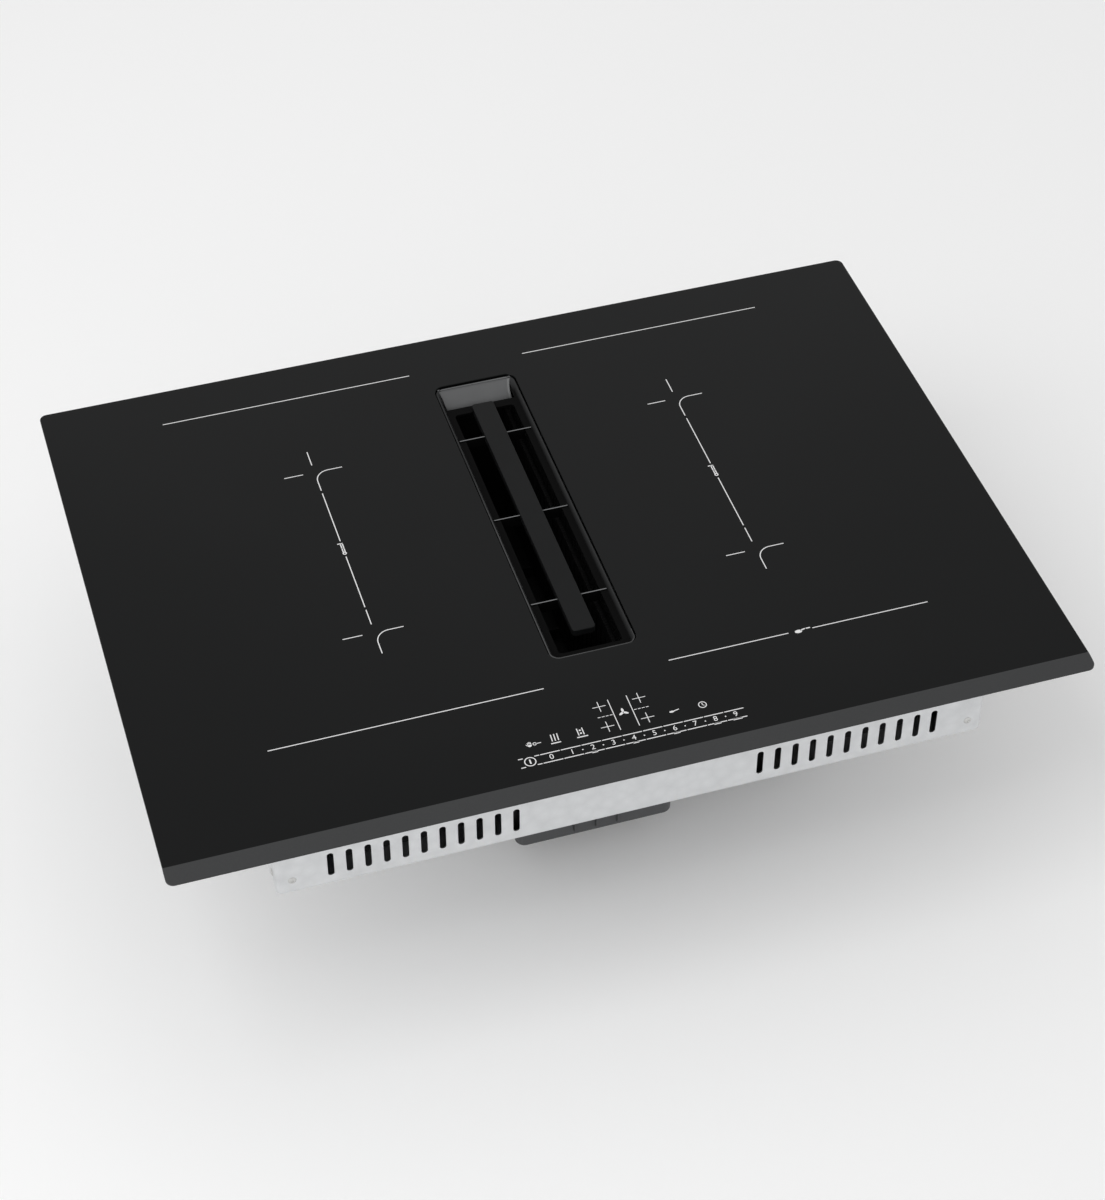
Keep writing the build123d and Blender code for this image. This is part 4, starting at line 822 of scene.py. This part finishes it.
# %% [markdown]
# ## The leg of the plate
# Behind the plate an upright leg closes the gap at the rear of the well, and a low cheek runs
# forward from each of its ends to the skirt of the frame. The three are cut from the same
# sheet, so they are plain boxes with broken edges that are joined to the plate.

# %% Leg and cheeks
leg_place, leg_size = (0, 0.1931, 0.2146), (0.0584, 0.0012, 0.0171)
cheek_x, cheek_y, cheek_z = 0.02875, 0.18315, 0.2106
cheek_size = (0.0008, 0.0195, 0.0090)
broken_edge = 0.0003


def sheet_box(centre, size):
    """A piece of sheet as a box with broken edges."""
    nothing_selected()
    bpy.ops.mesh.primitive_cube_add(size=1, location=centre)
    sheet = bpy.context.object
    sheet.scale = size
    at_rest()
    apply_modifier(sheet, "BEVEL", width=broken_edge, segments=2)
    return sheet


sheets = [sheet_box(leg_place, leg_size)]
for side in (-1, 1):
    sheets.append(sheet_box((side * cheek_x, cheek_y, cheek_z), cheek_size))
deflector = join_up([plate, *sheets], "rear_plate")
complete(deflector, "rear_plate", "deflector_metal", "inlet_grille", 50.0)
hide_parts("end_deflector")

# %% [markdown]
# ## A pocket for the plate
# The plate dives behind the ledge of the frame, deeper than the frame's own seat for it. A
# box cuts the room that it needs out of the frame's finished copy. The bar's finished copy is
# cut off just in front of the pocket, so that its end meets the plate and not its back.

# %% Pocket for the plate
pocket_place, pocket_size = (0, 0.1833, 0.2138), (0.0588, 0.0202, 0.0176)
nothing_selected()
bpy.ops.mesh.primitive_cube_add(size=1, location=pocket_place)
pocket = bpy.context.object
pocket.scale = pocket_size
at_rest()
frame_copy = bpy.data.objects["grille_frame_finished"]
select_only(frame_copy)
apply_modifier(frame_copy, "BOOLEAN", object=pocket, operation="DIFFERENCE", solver="EXACT")
bpy.data.objects.remove(pocket)
print("frame faces:", len(frame_copy.data.polygons))

# %% End of the bar
bar_end_y = 0.1706
bar_copy = bpy.data.objects["grille_bar_finished"]
select_only(bar_copy)
open_mesh()
cut((0, bar_end_y, 0), (0, 1, 0), clear_outer=True, use_fill=True)
close_mesh()
print("bar faces:", len(bar_copy.data.polygons))

# %% [markdown]
# ## The ledge in front of the plate
# The ledge of the grille runs on round the rear end of the opening, and the plate comes down
# behind it. The new part starts as a plane. Its middle is cut away, which leaves a U, and the
# inner corners of the U are rounded.

# %% Rear ledge
ledge_front_y, ledge_lip_y, ledge_rear_y = 0.1602, 0.1652, 0.1732
ledge_inner_x, ledge_outer_x = 0.0254, 0.0264
ledge_level, ledge_thick, ledge_corner = 0.22238, 0.0022, 0.003


def rear_ledge():
    """A U-shaped sheet with rounded inner corners."""
    nothing_selected()
    middle_y = (ledge_front_y + ledge_rear_y) / 2
    bpy.ops.mesh.primitive_plane_add(size=1, location=(0, middle_y, ledge_level))
    ledge = bpy.context.object
    ledge.scale = (2 * ledge_outer_x, ledge_rear_y - ledge_front_y, 1)
    at_rest()
    bpy.ops.object.mode_set(mode="EDIT")
    for x in (-ledge_inner_x, ledge_inner_x):
        cut((x, 0, ledge_level), (1, 0, 0))
    cut((0, ledge_lip_y, ledge_level), (0, 1, 0))
    inner_x, lip_y = ledge_inner_x + near, ledge_lip_y + near
    pick(ledge, "FACE", lambda point: abs(point.x) < inner_x and point.y < lip_y)
    bpy.ops.mesh.delete(type="FACE")
    bpy.ops.mesh.select_all(action="SELECT")
    bpy.ops.mesh.dissolve_faces()
    corner = (ledge_inner_x, ledge_lip_y)
    pick(ledge, "VERT", lambda point: math.dist((abs(point.x), point.y), corner) < near)
    bpy.ops.mesh.bevel(offset=ledge_corner, segments=6, affect="VERTICES")
    close_mesh()
    apply_modifier(ledge, "SOLIDIFY", thickness=ledge_thick, offset=-1)
    return ledge


complete(rear_ledge(), "rear_ledge", "grille_metal", "inlet_grille")

# %% [markdown]
# ## Stiffening ribs of the air box
# Large moulded walls would hum, so they carry upright ribs. One rib is modelled with slanted
# ends and broken edges, and copied along the flat walls of the chamber and the pan.

# %% Air box ribs
rib_reach = 0.0034
rib_foot_thick = 0.0016
rib_crest_share = 0.75
wall_x, wall_front_y, wall_rear_y = -0.0655, -0.142, 0.1985
rib_places = [
    (wall_x, y, 0, -90) for y in (-0.084, -0.056, -0.028, 0.0, 0.0565, 0.0845, 0.1125, 0.14)
]
rib_places += [(x, wall_front_y, 0, 0) for x in (-0.018, 0.0, 0.018)]
rib_places += [(x, wall_rear_y, 0, 180) for x in (-0.05, -0.034, -0.018, 0.018, 0.034)]


def upright_rib(low_z, high_z):
    """A rib on a wall in the plane y = 0 that faces -y, with slanted ends."""
    height, middle_z = high_z - low_z, (low_z + high_z) / 2
    nothing_selected()
    bpy.ops.mesh.primitive_cube_add(size=1, location=(0, -rib_reach / 2, middle_z))
    rib = bpy.context.object
    rib.scale = (rib_foot_thick, rib_reach, height)
    at_rest()
    bpy.ops.object.mode_set(mode="EDIT")
    pick(rib, "VERT", lambda point: point.y < -rib_reach / 2)
    shorter = 1 - 2 * rib_reach / height
    centre = (0, 0, middle_z)
    bpy.ops.transform.resize(value=(rib_crest_share, 1, shorter), center_override=centre)
    close_mesh()
    apply_modifier(rib, "BEVEL", width=broken_edge, segments=2)
    return rib


for name, low_z, high_z in (("chamber_ribs", 0.071, 0.1565), ("pan_ribs", 0.0345, 0.0605)):
    ribs = copies_of(upright_rib(low_z, high_z), rib_places)
    complete(join_up(ribs, name), name, "box_polymer")

# %% [markdown]
# ## Rivets of the tray
# The folded corners of the tray are held by blind rivets. Each has a low dome with the small
# dimple that its mandrel leaves. A disc is inset four times, and each time its middle is moved:
# out for the dome, and back in for the dimple.

# %% Blind rivets
rivet_radius = 0.0032
rivet_steps = ((0.0004, -0.0006), (0.0009, -0.0004), (0.0007, -0.0001), (0.0003, 0.0005))
rivet_levels = (0.176, 0.207)
tray_half_width, tray_half_depth = 0.276, 0.241
from_corner = 0.012


def rivet():
    """A domed head on a wall in the plane y = 0 that faces -y."""
    upright = (math.radians(90), 0, 0)
    nothing_selected()
    bpy.ops.mesh.primitive_circle_add(
        vertices=20, radius=rivet_radius, fill_type="NGON", rotation=upright
    )
    head = at_rest()
    bpy.ops.object.mode_set(mode="EDIT")
    bpy.ops.mesh.select_mode(type="FACE")
    bpy.ops.mesh.select_all(action="SELECT")
    for inset, rise in rivet_steps:
        bpy.ops.mesh.inset(thickness=inset)
        bpy.ops.transform.translate(value=(0, rise, 0))
    close_mesh()
    return head


rivet_places = []
for z in rivet_levels:
    for end in (-1, 1):
        for side in (-1, 1):
            x, y = end * (tray_half_width - from_corner), end * (tray_half_depth - from_corner)
            rivet_places.append((x, side * tray_half_depth, z, 90 + 90 * side))
            rivet_places.append((side * tray_half_width, y, z, 90 * side))
rivets = copies_of(rivet(), rivet_places)
complete(join_up(rivets, "tray_rivets"), "tray_rivets", "fixings")

# %% [markdown]
# ## Printing on the glass
# The marks are ceramic ink, fired onto the plate. Each one is a real layer of ink three
# hundredths of a millimetre thick, so its edges stay crisp from any distance. All marks grow
# from flat primitives that are given their thickness together at the end.

# %% Ink
ink_thick = 0.00003
ink_line = 0.0008


def make_ink(name, colour):
    ink = Recipe(name, colour, 0.5)
    speck = ink.noise(2600.0)
    ink.colour(ink.blend(speck, tint(colour, 0.82), colour))
    ink.roughness(0.42 + 0.16 * speck)
    return ink.material


finishes["white_ink"] = make_ink("white_ceramic_ink", (0.86, 0.86, 0.86))
print("ink thickness:", ink_thick)


# %% Bars, rings and dots
def bar_mark(start, end, width=ink_line):
    """A straight mark from start to end: a plane stretched and turned."""
    run = (end[0] - start[0], end[1] - start[1])
    nothing_selected()
    bpy.ops.mesh.primitive_plane_add(
        size=1,
        location=((start[0] + end[0]) / 2, (start[1] + end[1]) / 2, glass_top_z),
        rotation=(0, 0, math.atan2(run[1], run[0])),
    )
    bpy.context.object.scale = (math.hypot(*run), width, 1)
    return at_rest()


def bar_marks(*lines, width=ink_line):
    """Straight marks of one width. Each line gives the x and y of its start and its end."""
    return [bar_mark(line[:2], line[2:], width) for line in lines]


def ring_mark(centre, radius, width=ink_line, corners=48):
    """A closed ring: a disc that is inset by the width, without its middle."""
    nothing_selected()
    bpy.ops.mesh.primitive_circle_add(
        vertices=corners,
        radius=radius + width / 2,
        fill_type="NGON",
        location=(*centre, glass_top_z),
    )
    ring = at_rest()
    open_mesh()
    bpy.ops.mesh.inset(thickness=width)
    bpy.ops.mesh.delete(type="FACE")
    close_mesh()
    return ring


def dot_mark(centre, radius, stretch=1.0, turn=0.0):
    """A filled dot, which may be stretched to an oval and turned."""
    nothing_selected()
    bpy.ops.mesh.primitive_circle_add(
        vertices=20,
        radius=radius,
        fill_type="NGON",
        location=(*centre, glass_top_z),
        rotation=(0, 0, math.radians(turn)),
    )
    bpy.context.object.scale = (stretch, 1, 1)
    return at_rest()


def fire_ink(marks, name):
    """Joins flat marks, gives them the thickness of the ink and fixes them to the plate."""
    print_layer = join_up(marks, name)
    apply_modifier(print_layer, "SOLIDIFY", thickness=ink_thick, offset=1)
    print_layer.data.materials.clear()
    print_layer.data.materials.append(finishes["white_ink"])
    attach(print_layer, "housing")
    print(name, "faces:", len(print_layer.data.polygons))


print("printing tools ready")

# %% [markdown]
# ## The cooking-zone marks
# Each pair of zones shares one upright line, broken where the sensors lie. At the upper and
# the lower zone centre, a short tick comes in from the left and a curve leaves to the right:
# a quarter of a ring. Both sides carry the same marks, not mirrored ones.

# %% Cooking-zone marks
upright_parts = ((0.0405, 0.0988), (-0.0368, 0.0222), (-0.0562, -0.0398), (0.1343, 0.151))
zone_centres = ((0.1252, 0.1024), (-0.0656, -0.0886))
bend = 0.011


def quarter_ring(centre):
    """The upper left quarter of a ring."""
    ring = ring_mark(centre, bend, corners=72)
    bpy.ops.object.mode_set(mode="EDIT")
    for towards in ((-1, 0, 0), (0, 1, 0)):
        cut((*centre, glass_top_z), towards, clear_inner=True)
    close_mesh()
    return ring


def bridge_sign(x):
    """The sign that joins two zones into one: a double bar with a hook and an eye."""
    left, right, low, high = x - 0.0008, x + 0.0008, 0.0275, 0.0376
    marks = bar_marks((left, low, left, high), (right, low, right, high), width=0.0009)
    hook = (x - 0.0032, high, x + 0.0012, high)
    tie = (x - 0.0010, 0.0318, x + 0.0010, 0.0318)
    marks += bar_marks(hook, tie, width=0.0010)
    return marks + [ring_mark((x, 0.0261), 0.0012, 0.0009, 20)]


def zone_marks(x, name):
    marks = bar_marks(*((x, low, x, high) for low, high in upright_parts))
    marks += bridge_sign(x)
    for centre_y, foot_y in zone_centres:
        marks += bar_marks(
            (x - 0.025, centre_y, x - 0.0095, centre_y),
            (x + bend, centre_y, x + 0.0229, centre_y),
            (x, foot_y, x, centre_y - bend),
        )
        marks.append(quarter_ring((x + bend, centre_y - bend)))
    fire_ink(marks, name)


zone_marks(-0.1543, "zone_marks_left")
zone_marks(0.1547, "zone_marks_right")

# %% [markdown]
# ## The long lines at the front and the rear
# Four long lines close off the cooking area. The front right one is broken by a small sign
# for a pan that rests on the glass.

# %% Border lines
rear_y, front_y = 0.2195, -0.160
border = bar_marks(
    (-0.2595, rear_y, -0.0495, rear_y),
    (0.0495, rear_y, 0.2595, rear_y),
    (-0.2595, front_y, -0.049, front_y),
    (0.0495, front_y, 0.1457, front_y),
    (0.1652, front_y, 0.260, front_y),
)
border.append(dot_mark((0.1537, front_y - 0.0005), 0.0017, 1.7))
pan_handle = ((0.1555, -0.1598, 0.1595, -0.1589), (0.1602, -0.1590, 0.1636, -0.1590))
border += bar_marks(*pan_handle, width=0.0011)
fire_ink(border, "border_lines")

# %% [markdown]
# ## The touch control
# The control is a field of signs along the front edge: plus signs and a fan for the hood,
# function keys, a clock, a switch, and a slider with the numbers 0 to 9.

# %% Slider lines and dots
number_pitch = 0.0158
number_start = -0.0636
slider_y = -0.227
slider_half_height = 0.0043
slider_left, slider_right = -0.088, 0.0862
switch_x, switch_gap = -0.0799, 0.0044
tick_gap = 0.0004

slider = []
for line_y in (slider_y + slider_half_height, slider_y - slider_half_height):
    slider += bar_marks((slider_left, line_y, switch_x - switch_gap, line_y))
    left = switch_x + switch_gap
    for step in range(10):
        right = number_start + (step - 0.5) * number_pitch
        slider += bar_marks((left, line_y, right - tick_gap, line_y))
        left = right + tick_gap
    slider += bar_marks((left, line_y, slider_right, line_y))
for step in range(1, 9):
    slider.append(dot_mark((number_start + (step + 0.5) * number_pitch, slider_y), 0.00055))
print("slider marks:", len(slider))

# %% Underlined numbers and the switch
underline_y = -0.2318
for step, half in ((2, 0.0022), (4, 0.0022), (6, 0.0025), (8, 0.0027), (9, 0.0036)):
    x = number_start + step * number_pitch
    slider += bar_marks((x - half, underline_y, x + half, underline_y), width=0.0014)
slider.append(ring_mark((switch_x, slider_y), 0.0041))
slider += bar_marks((switch_x, slider_y - 0.0022, switch_x, slider_y + 0.0022), width=0.0011)
fire_ink(slider, "slider_print")

# %% Numbers 0 to 9
number_height = 0.0048
height_share = 0.7


def number_mark(text, centre):
    """A number as flat text, made a mesh before it is placed."""
    nothing_selected()
    bpy.ops.object.text_add(location=(*centre, glass_top_z))
    number = bpy.context.object
    number.data.body = text
    number.data.size = number_height / height_share
    number.data.align_x = "CENTER"
    number.data.align_y = "CENTER"
    bpy.ops.object.convert(target="MESH")
    return at_rest()


numbers = []
for value in range(10):
    spot = (number_start + value * number_pitch, slider_y)
    numbers.append(number_mark(str(value), spot))
fire_ink(numbers, "number_print")

# %% Signs of the hood: four plus signs, two lines with dashes and a fan
hood_y = -0.2004
plus_half, plus_gap = 0.00515, 0.0003
thin = 0.0006
signs = []
for x in (-0.0155, 0.0155):
    for y in (-0.190, -0.2108):
        signs += bar_marks(
            (x - plus_half, y, x + plus_half, y),
            (x, y - plus_half, x, y - plus_gap),
            (x, y + plus_gap, x, y + plus_half),
            width=thin,
        )
for side in (-1, 1):
    line_x = side * 0.0073
    signs += bar_marks((line_x, -0.2167, line_x, -0.185), width=0.00065)
    for step in range(4):
        start = side * (0.0083 + step * 0.0031)
        signs += bar_marks((start, hood_y, start + side * 0.0022, hood_y), width=thin)
blade_reach = 0.0019
for turn in (90, 210, 330):
    x = blade_reach * math.cos(math.radians(turn))
    y = blade_reach * math.sin(math.radians(turn))
    signs.append(dot_mark((x, hood_y + y), 0.00095, 2.4, turn))
print("marks of the hood:", len(signs))

# %% Signs of the filters and the hand
for x in (-0.0586, -0.0562, -0.0538):
    signs += bar_marks((x, -0.2128, x + 0.0004, -0.206))
signs += bar_marks((-0.0602, -0.2148, -0.0526, -0.2148), width=0.0010)
for x in (-0.0382, -0.0342):
    signs += bar_marks((x, -0.2130, x, -0.206))
for y in (-0.2082, -0.2112):
    signs.append(dot_mark((-0.0362, y), 0.0008))
signs += bar_marks((-0.0402, -0.2147, -0.0318, -0.2147), width=0.0010)

fingers = ((-0.0769, -0.2091), (-0.0761, -0.2085), (-0.0753, -0.2084), (-0.0745, -0.2089))
signs.append(dot_mark((-0.0757, -0.2116), 0.0016))
for x, tip_y in fingers:
    signs += bar_marks((x, -0.2112, x, tip_y), width=thin)
signs += bar_marks((-0.0772, -0.2118, -0.0783, -0.2104), width=thin)
signs.append(ring_mark((-0.0718, -0.2112), 0.0012, thin, 24))
signs += bar_marks((-0.0706, -0.2112, -0.0669, -0.2112), width=0.0007)
print("marks so far:", len(signs))

# %% Signs of the pan and the clock
signs.append(dot_mark((0.0344, -0.2107), 0.0009, 2.2))
signs += bar_marks((0.0362, -0.2104, 0.0402, -0.2096))
clock_x = 0.0584
signs.append(ring_mark((clock_x, -0.2107), 0.0029, 0.0007, 32))
hands = ((clock_x, -0.2109, clock_x, -0.2088), (clock_x, -0.2109, clock_x + 0.0012, -0.2117))
signs += bar_marks(*hands, width=thin)
fire_ink(signs, "key_signs")

# %% [markdown]
# ## Studio
# The floor is a plain pale plane at the level of the feet. The light is an even white room
# and one large soft lamp from the upper left. The room and the floor show white to the camera
# and in reflections, and light the object a little less than that.

# %% Floor
floor_size = 24
floor_glow = 0.11
nothing_selected()
bpy.ops.mesh.primitive_plane_add(size=floor_size, location=(0, 0, 0))
floor = at_rest()
floor.name = "studio_floor"
floor_finish = Recipe("studio_floor", (0.82, 0.82, 0.82), 0.8)
cloud = floor_finish.noise(0.8, 1.0)
floor_finish.colour(floor_finish.blend(cloud, (0.85, 0.85, 0.85), (0.87, 0.87, 0.87)))
sight = floor_finish.add("ShaderNodeLightPath")
seen_by = [Field(floor_finish, sight.outputs[f"Is {ray} Ray"]) for ray in ("Camera", "Glossy")]
floor_finish.feed(floor_finish.shader.inputs["Emission Color"], seen_by[0] + seen_by[1])
floor_finish.shader.inputs["Emission Strength"].default_value = floor_glow
floor.data.materials.append(floor_finish.material)
print("floor at", floor.location.z)

# %% Room
room_light = 0.72
world = bpy.data.worlds.new("white_room")
bpy.context.scene.world = world
world.use_nodes = True
room = Net(world.node_tree)
backdrop = room.tree.nodes["Background"]
backdrop.inputs["Color"].default_value = (1, 1, 1, 1)
rays = room.add("ShaderNodeLightPath").outputs
seen = room.maths("MAXIMUM", rays["Is Camera Ray"], rays["Is Glossy Ray"])
room.feed(backdrop.inputs["Strength"], room_light + (1 - room_light) * seen)
print("room light:", room_light)

# %% Lamp
lamp_place = (-1.6, -0.6, 2.4)
lamp_turn = (math.radians(12), math.radians(-33), 0)
lamp_size = (2.2, 1.6)
lamp_power = 26
nothing_selected()
bpy.ops.object.light_add(type="AREA", location=lamp_place, rotation=lamp_turn)
lamp = bpy.context.object
lamp.data.shape = "RECTANGLE"
lamp.data.size, lamp.data.size_y = lamp_size
lamp.data.energy = lamp_power
bpy.context.scene.view_settings.view_transform = "Standard"
print("lamp power:", lamp_power)
